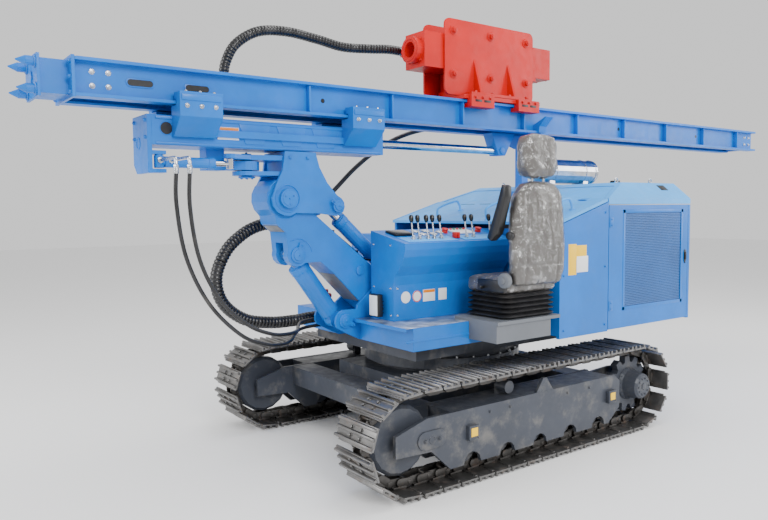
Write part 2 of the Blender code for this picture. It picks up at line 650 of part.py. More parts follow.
def cabinet():
    """Engine cabinet: side walls, grille doors, rear wall, roof, front hood and the hood's lid."""
    door_rear = BAY_REAR_X + 0.030
    hole = ((-0.97, 0.87), (-0.25, 1.555))
    for side, sign in SIDES:
        low, high = sorted((sign * (BAY_HALF_WIDTH - PANEL), sign * BAY_HALF_WIDTH))
        door = frame_panel(f"engine_door_{side}", "XZ", low, high,
                           ((door_rear, PANEL_BOTTOM_Z + 0.008), (DOOR_FRONT_X - 0.006, DOOR_TOP_Z)), hole)
        grille = box(f"door_grille_{side}", (hole[0][0] - 0.01, low + 0.006, hole[0][1] - 0.01),
                     (hole[1][0] + 0.01, high - 0.006, hole[1][1] + 0.01))
        finish(join(door, grille), "blue", f"door_{side}")
        front_top, rear_top = (hood_height(x) - HOOD_WALL - SLIDE_PLAY for x in (DECK_STEP_X, DOOR_FRONT_X))
        outline = [(DOOR_FRONT_X, PANEL_BOTTOM_Z), (DECK_STEP_X, PANEL_BOTTOM_Z), (DECK_STEP_X, front_top),
                   (DOOR_FRONT_X, rear_top)]
        wall = plate(f"side_panel_{side}", "XZ", [outline], low, high)
        if sign > 0:
            end = box("front_wall", (DECK_STEP_X - PANEL, SLOT_HALF + 0.03, DECK_TOP_Z + GAP),
                      (DECK_STEP_X, BAY_HALF_WIDTH - PANEL / 2, front_top - 0.03))
            join(wall, end)
        finish(wall, "blue", "slew")
    rear = frame_panel("rear_panel", "YZ", BAY_REAR_X, BAY_REAR_X + PANEL,
                       ((-BAY_HALF_WIDTH, PANEL_BOTTOM_Z), (BAY_HALF_WIDTH, DOOR_TOP_Z)),
                       ((-0.55, 0.95), (0.55, 1.50)))
    grille = box("rear_grille", (BAY_REAR_X + 0.006, -0.56, 0.94), (BAY_REAR_X + PANEL - 0.006, 0.56, 1.51))
    finish(join(rear, grille), "blue", "slew")
    wall = PANEL
    low = DOOR_TOP_Z + SLIDE_PLAY
    section = [(BAY_HALF_WIDTH, low), (BAY_HALF_WIDTH, EAVE_Z), (ROOF_HALF, ROOF_Z)]
    hollow = [(ROOF_HALF - wall * 0.4, ROOF_Z - wall), (BAY_HALF_WIDTH - wall, EAVE_Z - wall * 0.4),
              (BAY_HALF_WIDTH - wall, low)]
    outline = (section + [(-y, z) for y, z in reversed(section)]
               + [(-y, z) for y, z in reversed(hollow)] + hollow)
    front = DOOR_FRONT_X - 2 * GAP
    roof = plate("roof", "YZ", [outline], BAY_REAR_X, front)
    inset = wall / 2
    gable_half = [(BAY_HALF_WIDTH - inset, low + 0.002), (BAY_HALF_WIDTH - inset, EAVE_Z - inset / 4),
                  (ROOF_HALF - inset / 4, ROOF_Z - inset)]
    gable = plate("roof_gable", "YZ", [gable_half + [(-y, z) for y, z in reversed(gable_half)]],
                  BAY_REAR_X + 0.002, BAY_REAR_X + PANEL)
    slope = (HOOD_LID_Z - ROOF_Z) / (front - ROOF_CREST_X)
    beyond = front + 0.05
    wedge = plate("roof_wedge", "XZ", [[(ROOF_CREST_X, ROOF_Z), (beyond, HOOD_LID_Z + slope * 0.05),
                                        (beyond, ROOF_Z + 0.05), (ROOF_CREST_X, ROOF_Z + 0.05)]], -1.0, 1.0)
    skin = 0.003
    under_crest = ROOF_Z - skin
    top = [(ROOF_CREST_X - 0.02, under_crest), (ROOF_CREST_X, under_crest), (front - skin, HOOD_LID_Z - skin)]
    sheet = plate("roof_slope", "XZ", [top + [(x, z - HOOD_WALL) for x, z in reversed(top)]], -1.0, 1.0)
    trim_half = [(BAY_HALF_WIDTH - inset, low + 0.004), (BAY_HALF_WIDTH - inset, EAVE_Z - inset / 4),
                 (ROOF_HALF - inset / 4, ROOF_Z)]
    trim = plate("roof_slope_trim", "YZ", [trim_half + [(-y, z) for y, z in reversed(trim_half)]], -0.6, 0.1)
    combine(sheet, "INTERSECT", [trim])
    finish(join(cut(roof, wedge), gable, sheet), "pale_blue", "slew")


def hood_height(x):
    """Height of the lid's top at an x."""
    share = (x - HOOD_LID_X) / (HOOD_FRONT_X - HOOD_LID_X)
    return HOOD_LID_Z + (HOOD_FRONT_Z - HOOD_LID_Z) * share


def hood():
    """The hinged lid that slopes down from the roof across the full width, and the tank before it."""
    top = [(x, hood_height(x)) for x in (HOOD_LID_X + SLIDE_PLAY, HOOD_FRONT_X)]
    lid = plate("hood_lid", "XZ", [top + [(x, z - HOOD_WALL) for x, z in reversed(top)]], -BAY_HALF_WIDTH,
                BAY_HALF_WIDTH)
    finish(lid, "pale_blue", "lid")
    low = DECK_TOP_Z + GAP
    tank = box("hydraulic_tank", (DECK_STEP_X + GAP, -DECK_HALF_FRONT, low),
               (TANK_FRONT_X, TANK_INNER_Y, TANK_TOP_Z))
    finish(tank, "blue", "slew")


def engine_and_exhaust():
    finish(box("engine_block", (-0.95, -0.40, DECK_TOP_Z + GAP), (-0.20, 0.40, 1.50)), "dark_grey", "slew")
    start, end = (-1.02, -0.02, MUFFLER_Z), (-0.36, -0.02, MUFFLER_Z)
    body = rod("muffler", start, end, MUFFLER_RADIUS)
    cone = rod("muffler_cone", (-0.361, -0.02, MUFFLER_Z), (-0.30, -0.02, MUFFLER_Z), MUFFLER_RADIUS, 0.05)
    legs = [box(f"muffler_leg_{i}", (x - 0.03, -0.08, ROOF_Z + GAP), (x + 0.03, 0.04, MUFFLER_Z - 0.05))
            for i, x in enumerate((-0.90, -0.48))]
    finish(join(body, cone, *legs), "aluminium", "slew")


def mast_rest():
    """Post on the roof, with a low saddle across it that the stowed mast lies on."""
    top = MAST_BOTTOM_Z - REST_GAP
    fall = (HOOD_LID_Z - ROOF_Z) / (DOOR_FRONT_X - ROOF_CREST_X)
    rear, front = REST_X - 0.075, REST_X + 0.075
    under = [(x, ROOF_Z + fall * (x - ROOF_CREST_X) + 0.001) for x in (rear, front)]
    head = under[0][1] + 0.014
    foot = plate("mast_rest", "XZ", [under + [(front, head), (rear, head)]], -0.11, 0.11)
    post = box("rest_post", (REST_X - 0.035, -0.035, head - 0.004), (REST_X + 0.035, 0.035, top - 0.06))
    outline = [(-0.045, top - 0.10), (0.045, top - 0.10), (0.23, top - 0.02), (0.23, top), (-0.23, top),
               (-0.23, top - 0.02)]
    saddle = plate("rest_saddle", "YZ", [outline], REST_X - 0.04, REST_X + 0.04)
    finish(join(foot, post, saddle), "blue", "slew")


# ---------------------------------------------------------------- boom, cylinders and head
TILT_ANCHOR = (TILT_EYE[0] - BOOM_HEAD[0] + BOOM_FOOT[0], TILT_EYE[1] - BOOM_HEAD[1] + BOOM_FOOT[1])


def boom():
    """Gooseneck boom: a deep box from its foot pin to its head pin, with the lift lugs below."""
    outline = [*arc(BOOM_FOOT, 0.115, 130, 300, 7), (1.461, 0.982), (1.661, 1.182), (1.76, 1.262),
               *arc(LIFT_HEAD, 0.072, 225, 380, 6), (2.000, 1.45), (2.06, 1.50),
               *arc(BOOM_HEAD, 0.125, -55, 130, 8), (1.80, 1.560), (1.468, 1.292), (1.37, 1.215)]
    body = plate("boom", "XZ", [outline], -BOOM_HALF, BOOM_HALF)
    fork = box("lift_fork", (LIFT_HEAD[0] - 0.13, -0.047, LIFT_HEAD[1] - 0.12),
               (LIFT_HEAD[0] + 0.13, 0.047, LIFT_HEAD[1] + 0.075))
    bore = cross_bar("head_bore", BOOM_HEAD, 0.0, 0.3, HEAD_PIN_RADIUS + TURN_PLAY)
    pin_half = BOOM_HALF + SIDE_PLAY - GAP
    foot_pin = cross_bar("foot_pin", BOOM_FOOT, 0.0, pin_half, 0.045)
    block = box("loop_hose_clamp", (1.78, -0.275, 1.445), (1.8597, -BOOM_HALF + 0.01, 1.545))
    finish(join(cut(body, fork, bore), foot_pin, block), "blue", "boom")


def cross_bar(name, centre, y, half, radius):
    """A round bar across the machine: centre is its (x, z)."""
    return rod(name, (centre[0], y - half, centre[1]), (centre[0], y + half, centre[1]), radius)


def cylinder(name, foot, eye, radius, rod_radius, barrel_length, trunnion):
    """Barrel with its eye on the foot pin, and rod with its eye at the far pin."""
    def place(distance):
        x, z = along(foot, eye, distance)
        return Vector((x, 0.0, z))

    eye_half = 0.041
    length = math.dist(foot, eye)
    direction = place(1.0) - place(0.0)
    bottom = radius * 0.95
    wall_bottom = bottom + 0.03
    bore = rod_radius + PIN_PLAY
    profile = [(bore, barrel_length), (radius, barrel_length), (radius, bottom), (0, bottom),
               (0, wall_bottom), (bore, wall_bottom)]
    barrel = turned(f"{name}_barrel", profile, place(0.0), direction, hollow=True)
    eye_part = cross_bar(f"{name}_foot_eye", foot, 0.0, eye_half, radius * 0.85)
    neck = rod(f"{name}_foot_neck", place(0.0), place(bottom + 0.012), radius * 0.7)
    pin = cross_bar(f"{name}_foot_pin", foot, 0.0, trunnion, radius * 0.45)
    body = name.split("_")[0]
    finish(join(barrel, eye_part, neck, pin), "blue", f"{body}_barrel")
    bar = rod(f"{name}_rod", place(wall_bottom + 0.03), place(length - 0.01), rod_radius)
    head = cross_bar(f"{name}_rod_eye", eye, 0.0, eye_half, rod_radius * 1.45)
    finish(join(bar, head), "chrome", f"{body}_rod")


def boom_cylinders():
    lug = BOOM_HALF + SIDE_PLAY - GAP
    cylinder("lift_cylinder", LIFT_FOOT, LIFT_HEAD, LIFT_RADIUS, LIFT_ROD_RADIUS, 0.445, lug)
    length = math.dist(TILT_ANCHOR, TILT_EYE)
    cylinder("tilt_cylinder", TILT_ANCHOR, TILT_EYE, TILT_RADIUS, TILT_ROD_RADIUS, length - 0.13, lug)


def head_bracket():
    """Fork over the boom's head, its top slab and the lugs of the swing pin."""
    outline = [(2.013, HEAD_TOP_Z), (1.802, HEAD_TOP_Z), (1.775, 1.845), (1.72, 1.75), (1.65, 1.675),
               *arc(TILT_EYE, 0.062, 130, 270, 5), (1.776, 1.562), (1.90, 1.565),
               *arc(BOOM_HEAD, 0.105, 235, 360, 5), (2.075, 1.735), (2.03, 1.824)]
    near = BOOM_HALF + SIDE_PLAY
    plates = []
    for side, sign in SIDES:
        low, high = sorted((sign * near, sign * (near + HEAD_PLATE)))
        plates.append(plate(f"head_plate_{side}", "XZ", [outline], low, high))
    slab = box("head_bracket", (1.802, -near - 0.002, HEAD_TOP_Z - 0.035), (2.013, near + 0.002, HEAD_TOP_Z))
    lugs = []
    outline = [(1.99, -near - 0.002), *arc((SWING_X, 0), 0.085, -60, 60, 6), (1.99, near + 0.002)]
    for name, low, high in (("upper", 1.880, 1.910), ("lower", 1.790, 1.815)):
        lugs.append(plate(f"swing_lug_{name}", "XY", [outline], low, high))
    web = plate("lug_web", "YZ", [[(-near, 1.792), (near, 1.792), (near, 1.93), (-near, 1.93)]], 1.985, 2.010)
    outline = [(2.19, 0.02), (2.30, 0.045), *arc((SWING_ROD_X, SWING_ARM_Y), 0.035, -60, 120, 4), (2.21, 0.08)]
    arm = plate("swing_arm", "XY", [outline], 1.882, 1.908)
    pin = rod("swing_pin", (SWING_X, 0, 1.784), (SWING_X, 0, 1.920), 0.030)
    bore = cross_bar("head_plate_bore", BOOM_HEAD, 0.0, 0.3, HEAD_PIN_RADIUS + TURN_PLAY)
    boss = (HEAD_PLATE + 0.017) / 2
    tilt_pins = [cross_bar(f"tilt_boss_{side}", TILT_EYE, sign * (near + 0.001 + boss), boss, 0.035)
                 for side, sign in SIDES]
    body = cut(join(slab, *plates, *lugs, web, arm, pin, *tilt_pins), bore)
    finish(body, "blue", "head")
    reach = near + HEAD_PLATE + 0.02
    core = cross_bar("head_pin", BOOM_HEAD, 0.0, reach, HEAD_PIN_RADIUS)
    caps = [cross_bar(f"head_pin_cap_{side}", BOOM_HEAD, sign * (reach - 0.005), 0.010, 0.058)
            for side, sign in SIDES]
    finish(join(core, *caps), "steel", "level")


# ---------------------------------------------------------------- carrier
def carrier():
    """Hollow beam that the mast slides on, its swing knuckle, end plate, guide clamps and feed barrel."""
    beam = box("slide_frame", (CARRIER_REAR_X, -CARRIER_HALF, CARRIER_BOTTOM_Z),
               (CARRIER_FRONT_X, CARRIER_HALF, CARRIER_TOP_Z))
    half = CARRIER_HALF - CARRIER_WALL
    hollow = box("beam_hollow", (CARRIER_REAR_X - 0.05, -half, CARRIER_BOTTOM_Z + CARRIER_WALL),
                 (CARRIER_FRONT_X - 0.10, half, CARRIER_TOP_Z - CARRIER_WALL))
    drop = box("knuckle_drop", (2.34, -0.10, 1.819), (2.45, 0.0, CARRIER_BOTTOM_Z + 0.01))
    knuckle = plate("swing_knuckle", "XY",
                    [[(2.40, -0.085), (2.40, -0.005), (2.30, 0.03), *arc((SWING_X, 0), 0.075, 60, 300, 8)]],
                    1.821, 1.874)
    bore = rod("swing_bore", (SWING_X, 0, 1.70), (SWING_X, 0, 1.90), 0.030 + TURN_PLAY)
    finish(cut(join(cut(beam, hollow), drop, knuckle), bore), "blue", "carrier")
    front = CARRIER_FRONT_X + GAP
    end = plate("carrier_end_plate", "YZ",
                [[(-CARRIER_HALF, CARRIER_TOP_Z), (-CARRIER_HALF, 1.84), (-CARRIER_HALF + 0.05, 1.79),
                  (CARRIER_HALF + 0.0, 1.79), (CARRIER_HALF, CARRIER_TOP_Z)]], front, front + 0.025)
    lugs = [box(f"swing_ear_{i}", (SWING_BARREL_X - 0.035, SWING_ARM_Y - 0.06, low),
                (front + 0.002, CARRIER_HALF - 0.002, high))
            for i, (low, high) in enumerate(((1.792, 1.812), (1.890, 1.910)))]
    finish(join(end, *lugs), "blue", "carrier")
    for side, sign in SIDES:
        guide_clamps(f"guide_clamps_{side}", sign)
    feed_end = CARRIER_FRONT_X - 0.14
    barrel = turned("feed_barrel", [(FEED_ROD_RADIUS + PIN_PLAY, 0), (FEED_BARREL_RADIUS, 0),
                                    (FEED_BARREL_RADIUS, CARRIER_REAR_X - 0.03 - feed_end),
                                    (FEED_ROD_RADIUS + PIN_PLAY, CARRIER_REAR_X - 0.03 - feed_end)],
                    (feed_end, 0, FEED_Z), (1, 0, 0), hollow=True)
    finish(barrel, "blue", "carrier")


def guide_clamps(name, sign):
    """Two jaws that hold the mast's lower flange, on a rail along the beam's side."""
    root = CARRIER_HALF + GAP
    flange_low, flange_high = MAST_BOTTOM_Z, MAST_BOTTOM_Z + FLANGE
    tip = MAST_HALF + SLIDE_PLAY
    low, high = flange_low - SLIDE_PLAY, flange_high + SLIDE_PLAY
    top, lip = flange_high + 0.045, WEB_OUTER + 0.022
    outline = [(root, 1.985), (root + 0.03, 1.985), (tip + 0.055, 2.085), (tip + 0.055, top),
               (lip, top), (lip, high), (tip, high), (tip, low), (root, low)]
    outline = [(sign * y, z) for y, z in outline]
    jaws = [plate(f"jaw_{i}", "YZ", [outline], x - CLAMP_LENGTH / 2, x + CLAMP_LENGTH / 2)
            for i, x in enumerate((CLAMP_REAR_X, CLAMP_FRONT_X))]
    low, high = sorted((sign * root, sign * (root + 0.02)))
    rail = box(name, (CLAMP_REAR_X, low, 1.995), (CLAMP_FRONT_X, high, 2.035))
    finish(join(rail, *jaws), "blue", "carrier")


def swing_cylinder():
    """Short cylinder that swings the carrier about its upright pin."""
    length = SWING_BARREL_X - SWING_ROD_X
    radius, bar = 0.030, 0.014
    bore = bar + PIN_PLAY
    centre = (SWING_BARREL_X, SWING_ARM_Y, SWING_Z)
    end = length - 0.10
    profile = [(bore, end), (radius, end), (radius, 0.03), (0, 0.03), (0, 0.05), (bore, 0.05)]
    barrel = turned("swing_cylinder_barrel", profile, centre, (-1, 0, 0), hollow=True)
    eye = rod("swing_barrel_eye", (SWING_BARREL_X, SWING_ARM_Y, SWING_Z - 0.032),
              (SWING_BARREL_X, SWING_ARM_Y, SWING_Z + 0.034), 0.026)
    neck = rod("swing_barrel_neck", centre, (SWING_BARREL_X - 0.04, SWING_ARM_Y, SWING_Z), 0.020)
    finish(join(barrel, eye, neck), "blue", "swing_barrel")
    stem = rod("swing_cylinder_rod", (SWING_BARREL_X - 0.11, SWING_ARM_Y, SWING_Z),
               (SWING_ROD_X + 0.01, SWING_ARM_Y, SWING_Z), bar)
    tip = rod("swing_rod_eye", (SWING_ROD_X, SWING_ARM_Y, SWING_Z - 0.028),
              (SWING_ROD_X, SWING_ARM_Y, SWING_Z + 0.028), 0.022)
    finish(join(stem, tip), "chrome", "swing_rod")


# ---------------------------------------------------------------- mast
MAST_TOP_Z = MAST_BOTTOM_Z + MAST_HEIGHT


def mast():
    """Hat-section beam with an open channel below, its foot and its claw, and the feed rod below it."""
    low, high = MAST_BOTTOM_Z, MAST_TOP_Z
    half = [(CHANNEL_MOUTH, low), (MAST_HALF, low), (MAST_HALF, low + FLANGE), (WEB_OUTER, low + FLANGE),
            (WEB_OUTER, high - FLANGE), (MAST_HALF, high - FLANGE), (MAST_HALF, high)]
    skin = 0.8 * FLANGE
    hollow = [(WEB_OUTER - WEB, high - skin), (WEB_OUTER - WEB, low + skin), (CHANNEL_MOUTH, low + skin)]
    outline = (half + [(-y, z) for y, z in reversed(half)]
               + [(-y, z) for y, z in reversed(hollow)] + hollow)
    beam = plate("mast_beam", "YZ", [outline], MAST_REAR_X, MAST_FOOT_X)
    end = box("mast_end_plate", (MAST_REAR_X + 0.004, -WEB_OUTER + 0.004, low + FLANGE - 0.006),
              (MAST_REAR_X + 0.016, WEB_OUTER - 0.004, high - FLANGE + 0.006))
    blocks = [box("mast_hose_block", (0.14, -0.345, 2.175), (0.24, -WEB_OUTER + 0.005, 2.235)),
              box("hammer_hose_block", (2.16, -0.30, 2.225), (2.27, -WEB_OUTER + 0.005, 2.285))]
    horns = []
    for side, sign in SIDES:
        edge, web = MAST_HALF, WEB_OUTER - 0.004
        outline = [(edge - 0.004, low + 0.002), (edge + 0.012, low + 0.002), (edge + 0.02, low + 0.05),
                   (edge + 0.085, low + 0.115), (edge + 0.070, low + 0.115), (web, low + 0.06),
                   (web, low + FLANGE - 0.002)]
        horns.append(plate(f"mast_horn_{side}", "YZ", [[(sign * y, z) for y, z in outline]],
                           REST_X - 0.05, REST_X + 0.03))
    finish(join(beam, end, *blocks, *horns), "blue", "mast")
    middle = (low + high) / 2
    root = CLAW_TIP_X - CLAW_LENGTH
    foot = box("mast_foot", (MAST_FOOT_X + GAP, -MAST_HALF, low - 0.006),
               (MAST_FOOT_X + 0.016, MAST_HALF, high + 0.006))
    neck = box("foot_neck", (MAST_FOOT_X + 0.014, -0.12, low + 0.012), (root - 0.012, 0.12, high - 0.012))
    face = box("foot_face", (root - 0.014, -0.1425, low - 0.006), (root, 0.1425, high + 0.006))
    teeth = []
    for i in range(CLAW_COUNT):
        y = 0.105 * (-1 if i % 2 else 1)
        z = middle + 0.066 * (-1 if i < CLAW_COUNT / 2 else 1)
        teeth.append(rod(f"claw_root_{i}", (root - 0.002, y, z), (root + 0.045, y, z), 0.024, steps=12))
        teeth.append(rod(f"claw_tip_{i}", (root + 0.044, y, z), (CLAW_TIP_X, y, z), 0.0235, 0.003, steps=12))
    finish(join(foot, neck, face, *teeth), "blue", "mast")
    outline = [(-0.03, low - GAP), (0.075, 1.985), (0.14, 1.985), (0.215, low - GAP)]
    lug = plate("feed_lug", "XZ", [outline], -0.05, 0.05)
    bar = rod("feed_rod", (0.10, 0, FEED_Z), (CARRIER_REAR_X + 0.10, 0, FEED_Z), FEED_ROD_RADIUS)
    finish(join(bar, lug), "chrome", "mast")


# ---------------------------------------------------------------- hammer
def hammer():
    """Hydraulic hammer: ram block between two bolted plates, on a base that slides along the mast."""
    base = box("hammer_base", (HAMMER_REAR_X + 0.02, -MAST_HALF - 0.02, HAMMER_BASE_Z),
               (HAMMER_FRONT_X - 0.10, MAST_HALF + 0.02, HAMMER_BASE_Z + 0.028))
    rib = box("hammer_base_rib", (HAMMER_REAR_X + 0.04, -HAMMER_HALF + 0.01, HAMMER_BASE_Z + 0.027),
              (HAMMER_FRONT_X - 0.12, HAMMER_HALF - 0.01, HAMMER_PLATE_Z))
    clamps = [hammer_clamp(f"hammer_clamp_{i}_{side}", x, sign)
              for side, sign in SIDES for i, x in enumerate((0.02, 0.49))]
    finish(join(base, rib, *clamps), "red", "hammer")
    for side, sign in SIDES:
        hammer_plate(side, sign)
    body = box("hammer_body", (HAMMER_REAR_X - 0.05, -HAMMER_HALF + GAP, RAM_BOTTOM_Z),
               (RAM_FRONT_X - 0.05, HAMMER_HALF - GAP, RAM_TOP_Z))
    rear = box("hammer_rear", (HAMMER_REAR_X - 0.23, -0.09, RAM_BOTTOM_Z + 0.03),
               (HAMMER_REAR_X - 0.04, 0.09, RAM_TOP_Z + 0.02))
    middle = (RAM_BOTTOM_Z + RAM_TOP_Z) / 2
    nose = rod("hammer_nose", (RAM_FRONT_X - 0.06, 0, middle), (RAM_FRONT_X, 0, middle), 0.092)
    bore = rod("nose_bore", (RAM_FRONT_X - 0.08, 0, middle), (RAM_FRONT_X + 0.05, 0, middle), 0.0535)
    keel = box("hammer_keel", (HAMMER_REAR_X + 0.05, -HAMMER_HALF + 0.012, HAMMER_PLATE_Z + GAP),
               (HAMMER_FRONT_X - 0.14, HAMMER_HALF - 0.012, RAM_BOTTOM_Z + 0.01))
    port = box("hammer_port", (0.80, -0.20, 2.672), (0.885, -HAMMER_HALF + 0.01, 2.738))
    finish(cut(join(body, rear, nose, keel, port), bore), "red", "hammer")


def hammer_clamp(name, x, sign):
    """A hook from the base round the mast's upper flange."""
    tip = MAST_HALF + SLIDE_PLAY
    high = MAST_TOP_Z - FLANGE
    top = HAMMER_BASE_Z + 0.028
    lip, root = WEB_OUTER + 0.02, high - SLIDE_PLAY
    outline = [(tip, top), (tip + 0.045, top), (tip + 0.045, high - 0.035), (lip, high - 0.035), (lip, root),
               (tip, root)]
    return plate(name, "YZ", [[(sign * y, z) for y, z in outline]], x - 0.11, x + 0.11)


def hammer_plate(side, sign):
    """Side plate with round corners, and the gussets and shelf that brace it."""
    low, high = HAMMER_PLATE_Z - 0.045, HAMMER_TOP_Z
    r = 0.045
    x0, x1 = HAMMER_REAR_X, HAMMER_FRONT_X
    outline = [*arc((x1 - r, high - r), r, 0, 90, 4), *arc((x0 + r, high - r), r, 90, 180, 4),
               *arc((x0 + r, low + r), r, 180, 270, 4), *arc((x1 - r, low + r), r, 270, 360, 4)]
    inner, outer = sign * (HAMMER_HALF + GAP), sign * (HAMMER_HALF + HAMMER_PLATE)
    face = plate(f"hammer_plate_{side}", "XZ", [outline], *sorted((inner, outer)))
    root = outer - 0.002 * sign
    near, far = sorted((root, sign * 0.20))
    shelf = box(f"hammer_shelf_{side}", (0.02, near, low), (0.56, far, low + 0.02))
    outline = [(root, low + 0.015), (sign * 0.195, low + 0.015), (root, low + 0.27)]
    gussets = [plate(f"hammer_gusset_{side}_{i}", "YZ", [outline], x - 0.009, x + 0.009)
               for i, x in enumerate((0.12, 0.46))]
    finish(join(face, shelf, *gussets), "red", "hammer")


# ---------------------------------------------------------------- hoses
def hoses():
    hose("hose_loop", LOOP_ROUTE, LOOP_HOSE_RADIUS, "boom")
    for name, route in THIN_ROUTES.items():
        hose(name, route, THIN_HOSE_RADIUS, "slew")
    hose("hose_mast", MAST_ROUTE, MAST_HOSE_RADIUS, "mast")
    hose("hose_hammer", HAMMER_ROUTE, HAMMER_HOSE_RADIUS, "hammer")


# ---------------------------------------------------------------- assembly
def joint_axes():
    pivot("slew", (WHEEL_MID_X, 0, 0))
    pivot("door_left", (DOOR_FRONT_X - 0.006, BAY_HALF_WIDTH, 0), "slew")
    pivot("door_right", (DOOR_FRONT_X - 0.006, -BAY_HALF_WIDTH, 0), "slew")
    pivot("lid", (HOOD_LID_X, 0, HOOD_LID_Z), "slew")
    pivot("boom", (BOOM_FOOT[0], 0, BOOM_FOOT[1]), "slew")
    pivot("lift_barrel", (LIFT_FOOT[0], 0, LIFT_FOOT[1]), "slew")
    pivot("lift_rod", (LIFT_FOOT[0], 0, LIFT_FOOT[1]), "lift_barrel")
    pivot("tilt_barrel", (TILT_ANCHOR[0], 0, TILT_ANCHOR[1]), "slew")
    pivot("tilt_rod", (TILT_ANCHOR[0], 0, TILT_ANCHOR[1]), "tilt_barrel")
    pivot("level", (BOOM_HEAD[0], 0, BOOM_HEAD[1]), "boom")
    pivot("head", (BOOM_HEAD[0], 0, BOOM_HEAD[1]), "level")
    pivot("carrier", (SWING_X, 0, SWING_Z), "head")
    pivot("swing_barrel", (SWING_BARREL_X, SWING_ARM_Y, SWING_Z), "carrier")
    pivot("swing_rod", (SWING_BARREL_X, SWING_ARM_Y, SWING_Z), "swing_barrel")
    pivot("mast", (0, 0, MAST_BOTTOM_Z), "carrier")
    pivot("hammer", (0, 0, MAST_TOP_Z), "mast")


def build():
    clear_scene()
    bpy.context.scene.collection.children.link(COLLECTION)
    bpy.context.scene.collection.children.link(CUTTERS)
    joint_axes()
    ring_top = centre_frame()
    for side, sign in SIDES:
        track_frame(side, sign)
        wheels(side, sign)
        rollers(side, sign)
        track(side, sign)
    platform(ring_top)
    boom_bracket()
    console()
    seat()
    cabinet()
    hood()
    engine_and_exhaust()
    mast_rest()
    boom()
    boom_cylinders()
    head_bracket()
    carrier()
    swing_cylinder()
    mast()
    hammer()
    hoses()


build()
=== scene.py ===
"""Looks of the crawler pile driver rig: camera, hoses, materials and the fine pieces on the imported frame."""
import math

import bmesh
import bpy
from mathutils import Matrix, Vector, noise


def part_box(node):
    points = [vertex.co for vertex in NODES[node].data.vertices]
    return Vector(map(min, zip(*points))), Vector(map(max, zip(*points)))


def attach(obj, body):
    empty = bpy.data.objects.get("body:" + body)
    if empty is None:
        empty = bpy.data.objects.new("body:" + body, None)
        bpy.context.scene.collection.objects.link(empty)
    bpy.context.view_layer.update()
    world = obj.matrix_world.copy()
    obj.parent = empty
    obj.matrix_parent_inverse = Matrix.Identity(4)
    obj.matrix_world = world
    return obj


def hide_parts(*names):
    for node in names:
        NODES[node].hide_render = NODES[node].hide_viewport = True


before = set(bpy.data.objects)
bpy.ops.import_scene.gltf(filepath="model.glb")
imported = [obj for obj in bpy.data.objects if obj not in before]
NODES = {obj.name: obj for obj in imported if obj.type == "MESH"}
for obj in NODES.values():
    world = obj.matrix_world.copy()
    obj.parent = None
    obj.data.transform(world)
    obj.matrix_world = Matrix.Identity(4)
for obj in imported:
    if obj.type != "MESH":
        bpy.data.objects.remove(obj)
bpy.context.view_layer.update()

SIDES = (("left", 1), ("right", -1))


# ---------------------------------------------------------------- camera
CAMERA_PLACE = Vector((4.073, 3.942, 1.583))
CAMERA_YAW = math.radians(53.84)
CAMERA_PITCH = math.radians(4.04)
CAMERA_ROLL = math.radians(-0.518)
CAMERA_LENS = 33.52


def camera():
    """Standing at the front on the operator's side, at about seat height."""
    data = bpy.data.cameras.new("camera")
    data.lens = CAMERA_LENS
    data.sensor_width = 36.0
    obj = bpy.data.objects.new("camera", data)
    bpy.context.scene.collection.objects.link(obj)
    level = Vector((-math.cos(CAMERA_YAW), -math.sin(CAMERA_YAW), 0))
    right = Vector((-math.sin(CAMERA_YAW), math.cos(CAMERA_YAW), 0))
    up = Vector((0, 0, 1))
    ahead = level * math.cos(CAMERA_PITCH) - up * math.sin(CAMERA_PITCH)
    top = up * math.cos(CAMERA_PITCH) + level * math.sin(CAMERA_PITCH)
    across = right * math.cos(CAMERA_ROLL) + top * math.sin(CAMERA_ROLL)
    top = top * math.cos(CAMERA_ROLL) - right * math.sin(CAMERA_ROLL)
    turn = Matrix((across, top, -ahead)).transposed()
    obj.matrix_world = Matrix.Translation(CAMERA_PLACE) @ turn.to_4x4()
    bpy.context.scene.camera = obj


camera()


